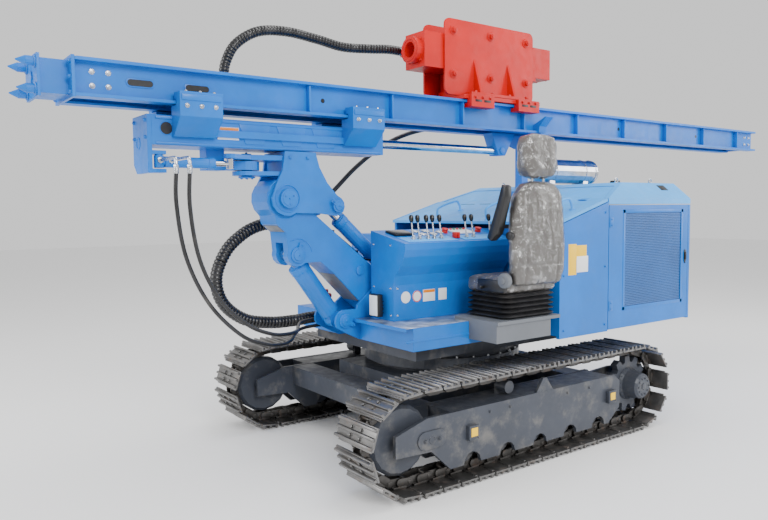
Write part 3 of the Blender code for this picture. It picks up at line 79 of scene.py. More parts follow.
# ---------------------------------------------------------------- node graphs
class Graph:
    """A material's node tree, with short calls for the nodes that these materials use."""

    def __init__(self, name):
        self.material = bpy.data.materials.new(name)
        self.material.use_nodes = True
        self.tree = self.material.node_tree
        self.shader = self.tree.nodes["Principled BSDF"]
        self.coords = self.add("ShaderNodeTexCoord").outputs["Object"]

    def add(self, kind, **settings):
        node = self.tree.nodes.new(kind)
        for key, value in settings.items():
            setattr(node, key, value)
        return node

    def link(self, source, target):
        self.tree.links.new(source, target)

    def feed(self, socket, value):
        """A socket takes another node's output or a constant."""
        if isinstance(value, bpy.types.NodeSocket):
            self.link(value, socket)
        else:
            socket.default_value = value

    def maths(self, operation, first, second=0.0, clamp=False):
        node = self.add("ShaderNodeMath", operation=operation, use_clamp=clamp)
        self.feed(node.inputs[0], first)
        self.feed(node.inputs[1], second)
        return node.outputs[0]

    def noise(self, scale, detail=4.0, roughness=0.55, stretch=None):
        place = self.coords
        if stretch:
            mapping = self.add("ShaderNodeMapping")
            self.link(place, mapping.inputs["Vector"])
            mapping.inputs["Scale"].default_value = stretch
            place = mapping.outputs["Vector"]
        node = self.add("ShaderNodeTexNoise")
        self.link(place, node.inputs["Vector"])
        node.inputs["Scale"].default_value = scale
        node.inputs["Detail"].default_value = detail
        node.inputs["Roughness"].default_value = roughness
        return node.outputs["Fac"]

    def ramp(self, value, low, high, from_value=0.0, to_value=1.0):
        node = self.add("ShaderNodeMapRange")
        node.interpolation_type = "SMOOTHSTEP"
        self.feed(node.inputs["Value"], value)
        node.inputs["From Min"].default_value = low
        node.inputs["From Max"].default_value = high
        node.inputs["To Min"].default_value = from_value
        node.inputs["To Max"].default_value = to_value
        return node.outputs["Result"]

    def mix(self, amount, first, second):
        node = self.add("ShaderNodeMix", data_type="RGBA")
        self.feed(node.inputs["Factor"], amount)
        self.feed(node.inputs["A"], first)
        self.feed(node.inputs["B"], second)
        return node.outputs["Result"]

    def edges(self, radius):
        """Near 1 where the surface turns an edge, and the rounded normal that shows it."""
        bevel = self.add("ShaderNodeBevel", samples=4)
        bevel.inputs["Radius"].default_value = radius
        geometry = self.add("ShaderNodeNewGeometry")
        dot = self.add("ShaderNodeVectorMath", operation="DOT_PRODUCT")
        self.link(bevel.outputs["Normal"], dot.inputs[0])
        self.link(geometry.outputs["Normal"], dot.inputs[1])
        turn = self.maths("SUBTRACT", 1.0, dot.outputs["Value"])
        return self.ramp(turn, 0.01, 0.18), bevel.outputs["Normal"]

    def bump(self, height, strength, distance, normal=None):
        node = self.add("ShaderNodeBump")
        node.inputs["Strength"].default_value = strength
        node.inputs["Distance"].default_value = distance
        self.link(height, node.inputs["Height"])
        if normal:
            self.link(normal, node.inputs["Normal"])
        return node.outputs["Normal"]

    def axis(self, name):
        node = self.add("ShaderNodeSeparateXYZ")
        self.link(self.coords, node.inputs["Vector"])
        return node.outputs[name]

    def put(self, name, value):
        self.feed(self.shader.inputs[name], value)


def rgb(red, green, blue):
    """A linear colour from the 0 to 255 values that a screen shows."""
    def linear(value):
        value /= 255
        return value / 12.92 if value <= 0.04045 else ((value + 0.055) / 1.055) ** 2.4
    return linear(red), linear(green), linear(blue), 1.0


def scaled(colour, amount):
    """A colour made lighter or darker."""
    return tuple(c * amount for c in colour[:3]) + (1.0,)


# ---------------------------------------------------------------- materials
def paint(name, colour, roughness=0.38, coat=0.12, under=None, edge_wear_and_highlight_amount=0.25, dust=0.05, edge=0.003):
    """Sprayed paint: slight mottling, orange peel, dust in patches, and patches at the edges in the under
    colour, as wear; without an under colour they take a lighter copy of the paint, a painted edge highlight.
    """
    g = Graph(name)
    edge_wear_and_highlight, rounded = g.edges(edge)
    mottle = g.noise(3.0, 5.0)
    shade = g.mix(g.ramp(mottle, 0.35, 0.7), scaled(colour, 0.90), scaled(colour, 1.06))
    dirt = g.maths("MULTIPLY", g.ramp(g.noise(7.0, 8.0, 0.65), 0.48, 0.75), dust)
    shade = g.mix(dirt, shade, rgb(150, 145, 135))
    # Edge patches: worn through to the under colour where one is given, else a lighter copy of the paint as a
    # painted edge highlight.
    chips_and_edge_highlight = g.maths("MULTIPLY", edge_wear_and_highlight, g.ramp(g.noise(45.0, 6.0, 0.7), 0.50, 0.62, 0.0, edge_wear_and_highlight_amount))
    shade = g.mix(chips_and_edge_highlight, shade, under or scaled(colour, 1.8))
    g.put("Base Color", shade)
    rough = g.ramp(g.noise(18.0, 4.0), 0.3, 0.7, roughness * 0.85, roughness * 1.25)
    g.put("Roughness", g.maths("ADD", rough, g.maths("MULTIPLY", dirt, 0.5)))
    g.put("Coat Weight", coat)
    g.put("Specular IOR Level", 0.28)
    g.put("Coat Roughness", 0.12)
    g.put("Normal", g.bump(g.noise(320.0, 2.0), 0.10, 0.0006, rounded))
    return g.material


def bare_metal(name, colour, roughness=0.35, brushed=None, rust=0.0, edge=0.002, metallic=1.0):
    """Turned, brushed or worn metal, with a painted highlight along every edge and rust in patches where it is
    asked for.
    """
    g = Graph(name)
    edge_wear_and_highlight, rounded = g.edges(edge)
    shade = g.mix(g.ramp(g.noise(9.0, 6.0, 0.6), 0.3, 0.7), scaled(colour, 0.72), scaled(colour, 1.08))
    # Every edge takes a lighter copy of the metal: a painted edge highlight.
    shade = g.mix(g.maths("MULTIPLY", edge_wear_and_highlight, 0.5), shade, scaled(colour, 1.35))
    if rust:
        spots = g.maths("MULTIPLY", g.ramp(g.noise(14.0, 9.0, 0.7), 0.52, 0.70), rust)
        shade = g.mix(spots, shade, rgb(118, 84, 58))
        g.put("Metallic", g.maths("SUBTRACT", metallic, g.maths("MULTIPLY", spots, 0.8)))
        g.put("Roughness", g.maths("ADD", roughness, g.maths("MULTIPLY", spots, 0.35)))
    else:
        g.put("Metallic", metallic)
        g.put("Roughness", g.ramp(g.noise(25.0, 5.0), 0.3, 0.7, roughness * 0.75, roughness * 1.3))
    g.put("Base Color", shade)
    grain = g.noise(60.0, 5.0, 0.6, brushed or (1.0, 1.0, 1.0))
    g.put("Normal", g.bump(grain, 0.22, 0.0008, rounded))
    return g.material


def rubber(name, colour, roughness=0.5, grain=0.3):
    """Dull rubber with a fine grain and a little dust."""
    g = Graph(name)
    shade = g.mix(g.ramp(g.noise(12.0, 6.0), 0.35, 0.7), scaled(colour, 0.75), scaled(colour, 1.5))
    g.put("Base Color", g.mix(g.ramp(g.noise(5.0, 7.0), 0.55, 0.8, 0.0, 0.25), shade, rgb(120, 116, 110)))
    g.put("Roughness", g.ramp(g.noise(30.0, 4.0), 0.3, 0.7, roughness * 0.8, roughness * 1.2))
    g.put("Normal", g.bump(g.noise(220.0, 3.0), grain, 0.0008))
    return g.material


def plastic(name, colour, roughness=0.35):
    """Moulded plastic or printed film with a fine grain and a faint painted highlight along its edges."""
    g = Graph(name)
    edge_wear_and_highlight, rounded = g.edges(0.0015)
    # The edges take a lighter copy of the colour: a painted edge highlight.
    g.put("Base Color", g.mix(g.maths("MULTIPLY", edge_wear_and_highlight, 0.3), colour, scaled(colour, 1.6)))
    g.put("Roughness", g.ramp(g.noise(40.0, 3.0), 0.3, 0.7, roughness * 0.85, roughness * 1.2))
    g.put("Normal", g.bump(g.noise(400.0, 2.0), 0.08, 0.0004, rounded))
    return g.material


def perforated(name, colour, across, pitch, open_share=0.30):
    """Sheet with a staggered pattern of round holes, painted dark as the shade behind the sheet, with a bright
    lower lip.
    """
    g = Graph(name)
    u = g.maths("DIVIDE", g.axis(across), pitch)
    v = g.maths("DIVIDE", g.axis("Z"), pitch * math.sqrt(3))

    def circles(offset):
        du = g.maths("SUBTRACT", g.maths("FRACT", g.maths("ADD", u, 50.0 + offset)), 0.5)
        dv = g.maths("SUBTRACT", g.maths("FRACT", g.maths("ADD", v, 50.0 + offset)), 0.5)
        dv = g.maths("MULTIPLY", dv, math.sqrt(3))
        return g.maths("SQRT", g.maths("ADD", g.maths("MULTIPLY", du, du), g.maths("MULTIPLY", dv, dv)))

    near = g.maths("MINIMUM", circles(0.0), circles(0.5))
    # The holes are painted near-black blue: painted shade of the dark space behind the sheet.
    hole_shade = g.ramp(near, open_share - 0.05, open_share + 0.03, 1.0, 0.0)
    shade = g.mix(g.ramp(g.noise(4.0, 5.0), 0.3, 0.7), scaled(colour, 0.85), scaled(colour, 1.05))
    g.put("Base Color", g.mix(hole_shade, shade, rgb(6, 24, 44)))
    g.put("Roughness", g.ramp(hole_shade, 0.0, 1.0, 0.38, 0.9))
    g.put("Coat Weight", g.ramp(hole_shade, 0.0, 1.0, 0.3, 0.0))
    g.put("Normal", g.bump(g.ramp(near, open_share - 0.05, open_share + 0.06), 0.8, 0.0015))
    return g.material


def chequer_plate(name):
    """Bright aluminium floor plate with a raised pattern of short bars."""
    g = Graph(name)
    pitch = 0.026
    u = g.maths("DIVIDE", g.maths("ADD", g.axis("X"), g.axis("Y")), pitch)
    v = g.maths("DIVIDE", g.maths("SUBTRACT", g.axis("X"), g.axis("Y")), pitch)

    def bars(first, second):
        a = g.maths("ABSOLUTE", g.maths("SUBTRACT", g.maths("FRACT", g.maths("ADD", first, 50.0)), 0.5))
        b = g.maths("ABSOLUTE", g.maths("SUBTRACT", g.maths("FRACT", g.maths("ADD", second, 50.0)), 0.5))
        return g.maths("MULTIPLY", g.ramp(a, 0.08, 0.16, 1.0, 0.0), g.ramp(b, 0.30, 0.42, 1.0, 0.0))

    raised = g.maths("MAXIMUM", bars(u, v), bars(g.maths("ADD", v, 0.5), g.maths("ADD", u, 0.5)))
    worn = g.noise(11.0, 7.0)
    g.put("Base Color", g.mix(g.ramp(worn, 0.35, 0.7), rgb(150, 158, 166), rgb(214, 222, 230)))
    g.put("Metallic", 0.85)
    g.put("Roughness", g.ramp(worn, 0.3, 0.7, 0.28, 0.5))
    g.put("Normal", g.bump(raised, 0.7, 0.0015))
    return g.material


def seat_cloth(name, colour):
    """Close-woven seat cloth with a soft sheen."""
    g = Graph(name)
    warp = g.maths("SINE", g.maths("MULTIPLY", g.axis("X"), 1600.0))
    weft = g.maths("SINE", g.maths("MULTIPLY", g.axis("Z"), 1600.0))
    weave = g.maths("MULTIPLY", warp, weft)
    shade = g.mix(g.ramp(g.noise(9.0, 5.0), 0.3, 0.7), scaled(colour, 0.7), scaled(colour, 1.15))
    g.put("Base Color", g.mix(g.ramp(weave, -1.0, 1.0, 0.0, 0.25), shade, scaled(colour, 1.7)))
    g.put("Roughness", 0.82)
    g.put("Sheen Weight", 0.35)
    g.put("Normal", g.bump(g.maths("ADD", g.maths("MULTIPLY", weave, 0.5), g.noise(150.0)), 0.35, 0.001))
    return g.material


def clear_film(name):
    """Thin clear wrapping film: see-through, with sharp creased highlights."""
    g = Graph(name)
    crease = g.noise(16.0, 6.0, 0.62)
    fine = g.noise(55.0, 3.0)
    normal = g.bump(g.maths("ADD", crease, g.maths("MULTIPLY", fine, 0.35)), 1.0, 0.012)
    clear = g.add("ShaderNodeBsdfTransparent")
    clear.inputs["Color"].default_value = (0.95, 0.96, 0.97, 1.0)
    gloss = g.add("ShaderNodeBsdfGlossy")
    gloss.inputs["Roughness"].default_value = 0.10
    gloss.inputs["Color"].default_value = (1.0, 1.0, 1.0, 1.0)
    g.link(normal, gloss.inputs["Normal"])
    edge = g.add("ShaderNodeFresnel")
    edge.inputs["IOR"].default_value = 1.45
    g.link(normal, edge.inputs["Normal"])
    mirror = g.maths("MULTIPLY", edge.outputs["Fac"], 1.1)
    amount = g.maths("ADD", mirror, g.ramp(crease, 0.5, 0.72, 0.04, 0.34))
    mixed = g.add("ShaderNodeMixShader")
    g.feed(mixed.inputs["Fac"], g.maths("MINIMUM", amount, 0.9))
    g.link(clear.outputs["BSDF"], mixed.inputs[1])
    g.link(gloss.outputs["BSDF"], mixed.inputs[2])
    output = next(n for n in g.tree.nodes if n.type == "OUTPUT_MATERIAL")
    g.link(mixed.outputs["Shader"], output.inputs["Surface"])
    return g.material


def floor_material():
    """Pale even floor."""
    g = Graph("studio_floor")
    cloud = g.ramp(g.noise(0.6, 3.0), 0.3, 0.7)
    g.put("Base Color", g.mix(cloud, (0.88, 0.88, 0.88, 1.0), (0.90, 0.90, 0.90, 1.0)))
    g.put("Roughness", 0.6)
    return g.material


BLUE_TONE = rgb(0, 112, 204)
PALE_TONE = rgb(70, 168, 244)
RED_TONE = rgb(200, 12, 8)
GREY_TONE = rgb(64, 68, 77)
STEEL_TONE = rgb(128, 127, 126)

BLUE = paint("blue_paint", BLUE_TONE)
PALE = paint("pale_blue_paint", PALE_TONE, roughness=0.42, coat=0.1)
RED = paint("red_paint", RED_TONE, roughness=0.4, coat=0.08, under=rgb(120, 60, 50), edge_wear_and_highlight_amount=0.6, dust=0.06)
GREY = paint("grey_paint", GREY_TONE, roughness=0.42, coat=0.15, under=rgb(140, 140, 140), edge_wear_and_highlight_amount=0.5,
             dust=0.35)
LIGHT = paint("light_grey_paint", rgb(108, 112, 118), roughness=0.45, coat=0.1)
SHOE = bare_metal("shoe_steel", STEEL_TONE, 0.42, rust=0.35)
CHAIN = bare_metal("chain_steel", rgb(92, 90, 88), 0.5, rust=0.3)
CHROME = bare_metal("chromed_rod", rgb(225, 227, 230), 0.10)
BRIGHT = bare_metal("bright_steel", rgb(205, 208, 212), 0.26)
EXHAUST = bare_metal("polished_exhaust", rgb(214, 216, 220), 0.20, brushed=(1.0, 8.0, 8.0))
HOSE = rubber("hose_rubber", rgb(26, 26, 28), 0.38)
WRAP = rubber("hose_wrap", rgb(22, 22, 24), 0.30, 0.15)
BELLOWS = rubber("bellows_rubber", rgb(30, 30, 32), 0.45)
BLACK = plastic("black_plastic", rgb(20, 20, 22))
KNOB = plastic("knob_plastic", rgb(14, 14, 16), 0.2)
RED_CAP = plastic("red_plastic", rgb(205, 30, 26), 0.3)
GREEN_CAP = plastic("green_plastic", rgb(30, 140, 70), 0.3)
WHITE = plastic("white_label", rgb(232, 234, 236), 0.4)
YELLOW = plastic("yellow_label", rgb(250, 200, 0), 0.5)
ORANGE = plastic("orange_label", rgb(236, 132, 30), 0.4)
GLASS_DARK = plastic("display_glass", rgb(18, 22, 26), 0.06)
LENS = plastic("lamp_lens", rgb(226, 232, 236), 0.08)
CLOTH = seat_cloth("seat_cloth", rgb(104, 98, 92))
FILM = clear_film("wrapping_film")
FLOOR_PLATE = chequer_plate("floor_plate")
# The grille sheets take a darker copy of the blue paint: painted shade of their recess behind the panels.
DOOR_GRILLE = perforated("door_grille", scaled(BLUE_TONE, 0.75), "X", 0.014)
REAR_GRILLE = perforated("rear_grille", scaled(BLUE_TONE, 0.75), "Y", 0.014)


# ---------------------------------------------------------------- shapes
class Shape:
    """Gathers many small forms into one mesh."""

    def __init__(self):
        self.bm = bmesh.new()

    def absorb(self, other, matrix=None):
        if matrix:
            bmesh.ops.transform(other, matrix=matrix, verts=other.verts)
        mesh = bpy.data.meshes.new("part")
        other.to_mesh(mesh)
        other.free()
        self.bm.from_mesh(mesh)
        bpy.data.meshes.remove(mesh)
        return self

    def box(self, low, high, bevel=0.0015, segments=2, matrix=None):
        low, high = Vector(low), Vector(high)
        size = Vector(abs(c) for c in high - low)
        bm = bmesh.new()
        bmesh.ops.create_cube(bm, size=1.0)
        bmesh.ops.scale(bm, vec=size, verts=bm.verts)
        if bevel:
            bmesh.ops.bevel(bm, geom=bm.edges[:], offset=min(bevel, 0.45 * min(size)), segments=segments,
                            profile=0.5, affect="EDGES")
        bmesh.ops.translate(bm, vec=(low + high) / 2, verts=bm.verts)
        return self.absorb(bm, matrix)

    def bar(self, start, end, radius, end_radius=None, steps=20, bevel=0.0, matrix=None):
        start, end = Vector(start), Vector(end)
        bm = bmesh.new()
        last = radius if end_radius is None else end_radius
        bmesh.ops.create_cone(bm, cap_ends=True, segments=steps, radius1=radius, radius2=last,
                              depth=(end - start).length)
        if bevel:
            rims = [e for e in bm.edges
                    if len(e.link_faces) == 2 and any(len(f.verts) > 4 for f in e.link_faces)]
            bmesh.ops.bevel(bm, geom=rims, offset=bevel, segments=2, profile=0.5, affect="EDGES")
        turn = (end - start).to_track_quat("Z", "Y").to_matrix().to_4x4()
        bmesh.ops.transform(bm, matrix=Matrix.Translation((start + end) / 2) @ turn, verts=bm.verts)
        return self.absorb(bm, matrix)

    def bolt(self, place, axis, size, washer=True, matrix=None):
        """A hexagon head on a washer: size is its distance across flats."""
        place, axis = Vector(place), Vector(axis).normalized()
        if washer:
            self.bar(place - axis * 0.001, place + axis * size * 0.12, size * 0.72, steps=20, matrix=matrix)
        top = place + axis * size * 0.62
        self.bar(place, top, size * 0.577, steps=6, bevel=size * 0.05, matrix=matrix)
        return self.bar(top - axis * size * 0.1, top + axis * size * 0.14, size * 0.28, steps=12,
                        matrix=matrix)

    def bolt_circle(self, centre, axis, radius, count, size, start=0.0):
        """Bolts spaced evenly about a centre, in the plane across their axis."""
        centre, axis = Vector(centre), Vector(axis)
        second = Vector((0, 0, 1)) if axis.y else Vector((0, 1, 0))
        for i in range(count):
            angle = 2 * math.pi * i / count + start
            spoke = Vector((1, 0, 0)) * math.cos(angle) + second * math.sin(angle)
            self.bolt(centre + radius * spoke, axis, size)

    def prism(self, outline, plane, low, high, bevel=0.0):
        """An outline, thick from low to high across its plane."""
        bm = bmesh.new()
        place = {"XZ": lambda a, b, t: (a, t, b), "YZ": lambda a, b, t: (t, a, b),
                 "XY": lambda a, b, t: (a, b, t)}
        under = [bm.verts.new(place[plane](a, b, low)) for a, b in outline]
        over = [bm.verts.new(place[plane](a, b, high)) for a, b in outline]
        bm.faces.new(under)
        bm.faces.new(over)
        for i, (lower, upper) in enumerate(zip(under, over)):
            j = (i + 1) % len(outline)
            bm.faces.new((lower, under[j], over[j], upper))
        bmesh.ops.recalc_face_normals(bm, faces=bm.faces)
        if bevel:
            bmesh.ops.bevel(bm, geom=bm.edges[:], offset=bevel, segments=2, profile=0.5, affect="EDGES",
                            clamp_overlap=True)
        return self.absorb(bm)

    def ring(self, centre, axis, radius, thickness, steps=32, sides=10):
        """A torus about an axis."""
        bm = bmesh.new()
        loops = []
        for i in range(steps):
            a = 2 * math.pi * i / steps
            loops.append([bm.verts.new(((radius + thickness * math.cos(b)) * math.cos(a),
                                        (radius + thickness * math.cos(b)) * math.sin(a),
                                        thickness * math.sin(b)))
                          for b in (2 * math.pi * j / sides for j in range(sides))])
        for i in range(steps):
            for j in range(sides):
                bm.faces.new((loops[i][j], loops[(i + 1) % steps][j], loops[(i + 1) % steps][(j + 1) % sides],
                              loops[i][(j + 1) % sides]))
        bmesh.ops.recalc_face_normals(bm, faces=bm.faces)
        turn = Vector(axis).to_track_quat("Z", "Y").to_matrix().to_4x4()
        bmesh.ops.transform(bm, matrix=Matrix.Translation(centre) @ turn, verts=bm.verts)
        return self.absorb(bm)

    def tube(self, points, radius, sides=12):
        """A tube along points, with a radius that may be a function of the length so far."""
        route = [Vector(p) for p in points]
        bm = bmesh.new()
        side = Vector((0, 0, 1)).cross(route[1] - route[0])
        side = (side if side.length > 1e-4 else Vector((0, 1, 0))).normalized()
        rings, done = [], 0.0
        for i, point in enumerate(route):
            before, after = route[max(0, i - 1)], route[min(len(route) - 1, i + 1)]
            along = (after - before).normalized()
            side = (side - along * side.dot(along)).normalized()
            up = along.cross(side)
            done += (point - route[i - 1]).length if i else 0.0
            r = radius(done) if callable(radius) else radius
            rings.append([bm.verts.new(point + r * (side * math.cos(a) + up * math.sin(a)))
                          for a in (2 * math.pi * k / sides for k in range(sides))])
        for first, second in zip(rings, rings[1:]):
            for k in range(sides):
                bm.faces.new((first[k], first[(k + 1) % sides], second[(k + 1) % sides], second[k]))
        bm.faces.new(rings[0])
        bm.faces.new(rings[-1])
        bmesh.ops.recalc_face_normals(bm, faces=bm.faces)
        return self.absorb(bm)

    def mirrored(self):
        """Adds the same forms on the other side of the centre plane."""
        copy = self.bm.copy()
        bmesh.ops.scale(copy, vec=(1, -1, 1), verts=copy.verts)
        bmesh.ops.reverse_faces(copy, faces=copy.faces)
        return self.absorb(copy)

    def make(self, name, look, body, slot=None, angle=35):
        mesh = bpy.data.meshes.new(name)
        self.bm.to_mesh(mesh)
        self.bm.free()
        mesh.shade_smooth()
        mesh.set_sharp_from_angle(angle=math.radians(angle))
        obj = bpy.data.objects.new(name, mesh)
        bpy.context.scene.collection.objects.link(obj)
        mesh.materials.append(look)
        if body:
            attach(obj, body)
        return obj


def path_length(points):
    """Length along a row of points."""
    return sum((Vector(b) - Vector(a)).length for a, b in zip(points, points[1:]))


def smooth_route(points, spacing):
    """Points along a smooth curve through the route's own points, about one spacing apart."""
    ends = [2 * Vector(points[0]) - Vector(points[1])] + [Vector(p) for p in points]
    ends.append(2 * Vector(points[-1]) - Vector(points[-2]))
    route = [ends[1]]
    for p0, p1, p2, p3 in zip(ends, ends[1:], ends[2:], ends[3:]):
        steps = max(1, round((p2 - p1).length / spacing))
        for i in range(1, steps + 1):
            t = i / steps
            route.append(0.5 * (2 * p1 + (p2 - p0) * t + (2 * p0 - 5 * p1 + 4 * p2 - p3) * t * t
                                + (3 * p1 - p0 - 3 * p2 + p3) * t ** 3))
    return route


def arc(centre, radius, start, end, steps=10):
    angles = [math.radians(start + (end - start) * i / steps) for i in range(steps + 1)]
    return [(centre[0] + radius * math.cos(a), centre[1] + radius * math.sin(a)) for a in angles]


# ---------------------------------------------------------------- hoses
def slot(x, z, half, radius):
    """Outline of a slot along X, with round ends."""
    return arc((x - half, z), radius, 90, 270, 8) + arc((x + half, z), radius, 270, 450, 8)


LOOP_ROUTE = [(1.8615, -0.225, 1.500), (1.92, -0.225, 1.500), (2.01, -0.227, 1.488), (2.12, -0.230, 1.440),
              (2.24, -0.230, 1.335), (2.31, -0.232, 1.170), (2.27, -0.235, 1.010), (2.13, -0.235, 0.895),
              (1.95, -0.235, 0.855), (1.78, -0.235, 0.850), (1.66, -0.235, 0.858), (1.60, -0.235, 0.860),
              (1.5415, -0.235, 0.860)]
SWING_ROUTES = {
    "hose_swing_a": [(2.76, 0.360, 1.820), (2.765, 0.360, 1.620), (2.72, 0.360, 1.340), (2.60, 0.357, 1.090),
                     (2.42, 0.345, 0.905), (2.25, 0.300, 0.825), (2.10, 0.215, 0.795), (1.98, 0.105, 0.790),
                     (1.88, -0.030, 0.795), (1.79, -0.125, 0.805), (1.71, -0.152, 0.812),
                     (1.60, -0.152, 0.815), (1.4875, -0.152, 0.815)],
    "hose_swing_b": [(2.70, 0.390, 1.820), (2.705, 0.390, 1.600), (2.66, 0.390, 1.330), (2.55, 0.387, 1.110),
                     (2.39, 0.375, 0.960), (2.22, 0.335, 0.885), (2.07, 0.250, 0.860), (1.95, 0.130, 0.850),
                     (1.87, 0.000, 0.850), (1.79, -0.110, 0.855), (1.71, -0.150, 0.858),
                     (1.60, -0.152, 0.860), (1.4875, -0.152, 0.860)],
}
MAST_ROUTE = [(1.52, -0.330, 1.60), (1.38, -0.330, 1.72), (1.20, -0.330, 1.88),
              (1.00, -0.330, 2.02), (0.80, -0.325, 2.12), (0.58, -0.318, 2.185), (0.38, -0.315, 2.205),
              (0.2415, -0.315, 2.205)]
HAMMER_ROUTE = [(2.215, -0.262, 2.2865), (2.215, -0.262, 2.40), (2.20, -0.262, 2.50), (2.13, -0.260, 2.62),
                (1.98, -0.255, 2.715), (1.78, -0.248, 2.74), (1.56, -0.240, 2.72), (1.36, -0.225, 2.69),
                (1.16, -0.190, 2.695), (1.02, -0.168, 2.705), (0.8865, -0.168, 2.705)]


def wrapped(radius, pitch):
    """The outline of a spiral guard: its turns stand proud of the hose."""
    def profile(done):
        turn = abs(math.sin(math.pi * done / pitch))
        return radius * (0.84 + 0.16 * min(1.0, 1.6 * turn))
    return profile


def ferrule(shape, point, toward, radius, length=0.045):
    """A crimped steel collar with a hexagon at its root."""
    point, toward = Vector(point), Vector(toward)
    along = (toward - point).normalized()
    shape.bar(point, point + along * 0.014, radius * 1.30, steps=6, bevel=0.001)
    shape.bar(point + along * 0.014, point + along * length, radius * 1.16, steps=24, bevel=0.001)
    for i in range(3):
        shape.ring(point + along * (0.020 + 0.008 * i), along, radius * 1.14, 0.0018, steps=24, sides=6)


def hose(name, route, radius, body, look, guard=0.0, spacing=0.02):
    """A hose and the collars at its two ends."""
    path = smooth_route(route, min(spacing, guard / 5 if guard else spacing))
    shape = Shape()
    shape.tube(path, wrapped(radius, guard) if guard else radius, sides=16 if guard else 12)
    piece = shape.make(name + "_rubber", look, body, "black", angle=60)
    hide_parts(name)
    collars = Shape()
    ferrule(collars, route[0], route[1], radius * (0.8 if guard else 1.0))
    ferrule(collars, route[-1], route[-2], radius * (0.8 if guard else 1.0))
    fittings = collars.make(name + "_collars", BRIGHT, body, "chrome")
    plain = smooth_route(route, 0.03)
    path_length(plain)
    [tuple(p) for p in plain]


hose("hose_loop", LOOP_ROUTE, 0.040, "boom", WRAP, guard=0.024)
for hose_name, hose_route in SWING_ROUTES.items():
    hose(hose_name, hose_route, 0.011, "upper", HOSE)
hose("hose_mast", MAST_ROUTE, 0.016, "mast", HOSE)
hose("hose_hammer", HAMMER_ROUTE, 0.032, "hammer", WRAP, guard=0.022)


# ---------------------------------------------------------------- floor and light
# Each light's name, place, power in watts and size.
LIGHTS = (("key", (3.0, 8.5, 6.0), 640, 4.0), ("fill", (8.0, -2.0, 4.0), 330, 4.0),
          ("top", (-1.0, 1.0, 8.5), 380, 5.0), ("rear", (-6.5, 4.5, 3.5), 220, 4.0))
LIT_POINT = Vector((0.4, 0, 1.1))
WORLD_STRENGTH = 0.95


def studio():
    """Plain floor, even world light and four soft area lights."""
    bpy.ops.mesh.primitive_plane_add(size=1.0, location=(0, 0, -0.001))
    floor = bpy.context.object
    floor.name = "studio_floor"
    floor.scale = (60, 60, 1)
    floor.data.materials.append(floor_material())
    world = bpy.data.worlds.new("studio")
    world.use_nodes = True
    background = world.node_tree.nodes["Background"]
    background.inputs["Color"].default_value = (1.0, 1.0, 1.0, 1.0)
    background.inputs["Strength"].default_value = WORLD_STRENGTH
    bpy.context.scene.world = world
    for name, place, energy, size in LIGHTS:
        light = bpy.data.lights.new(name, "AREA")
        light.energy = energy
        light.size = size
        lamp = bpy.data.objects.new(name, light)
        bpy.context.scene.collection.objects.link(lamp)
        lamp.location = place
        lamp.rotation_euler = (LIT_POINT - Vector(place)).to_track_quat("-Z", "Y").to_euler()


studio()


# ---------------------------------------------------------------- looks of the carried-over nodes
def dress(look, *names):
    """Puts one material on carried-over nodes."""
    for name in names:
        mesh = NODES[name].data
        mesh.materials.clear()
        mesh.materials.append(look)


def both(name):
    """The names of a node on the left and on the right."""
    return [f"{name}_{side}" for side, _ in SIDES]


dress(BLUE, "boom", "boom_bracket", "carrier_end_plate", "console", "deck", "feed_barrel", "head_bracket",
      "head_pin", "hydraulic_tank", "lift_cylinder_barrel", "mast_beam", "mast_foot", "mast_rest",
      "rear_panel", "slide_frame", "swing_cylinder_barrel", "tilt_cylinder_barrel", *both("engine_door"),
      *both("guide_clamps"), *both("side_panel"))
dress(PALE, "roof", "hood_lid")
dress(RED, "hammer_base", "hammer_body", *both("hammer_plate"))
dress(GREY, "center_frame", "slew_ring", "turret_base", "engine_block", *both("track_frame"),
      *both("sprocket"), *both("idler"), *both("bottom_rollers"))
dress(CHROME, "lift_cylinder_rod", "swing_cylinder_rod", "tilt_cylinder_rod")
dress(EXHAUST, "muffler")
dress(LIGHT, "seat_bracket")


# ---------------------------------------------------------------- tracks
SHOE_COUNT = 41
CHAIN_DEPTH = 0.095


def track_loop(side):
    """The loop's wheel centres and radius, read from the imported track."""
    low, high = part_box(f"track_{side}")
    radius = (high.z - low.z) / 2
    return low.x + radius, high.x - radius, radius, (low.y + high.y) / 2, high.y - low.y


def loop_point(distance, offset, rear, front, radius):
    """A point on the loop: distance along its inner line, offset out of it."""
    inner = radius - CHAIN_DEPTH
    straight, turn = front - rear, math.pi * inner
    distance %= 2 * (straight + turn)
    reach = inner + offset
    if distance < straight:
        return rear + distance, radius + reach
    distance -= straight
    if distance < turn:
        angle = math.pi / 2 - distance / inner
        return front + reach * math.cos(angle), radius + reach * math.sin(angle)
    distance -= turn
    if distance < straight:
        return front - distance, radius - reach
    angle = -math.pi / 2 - (distance - straight) / inner
    return rear + reach * math.cos(angle), radius + reach * math.sin(angle)


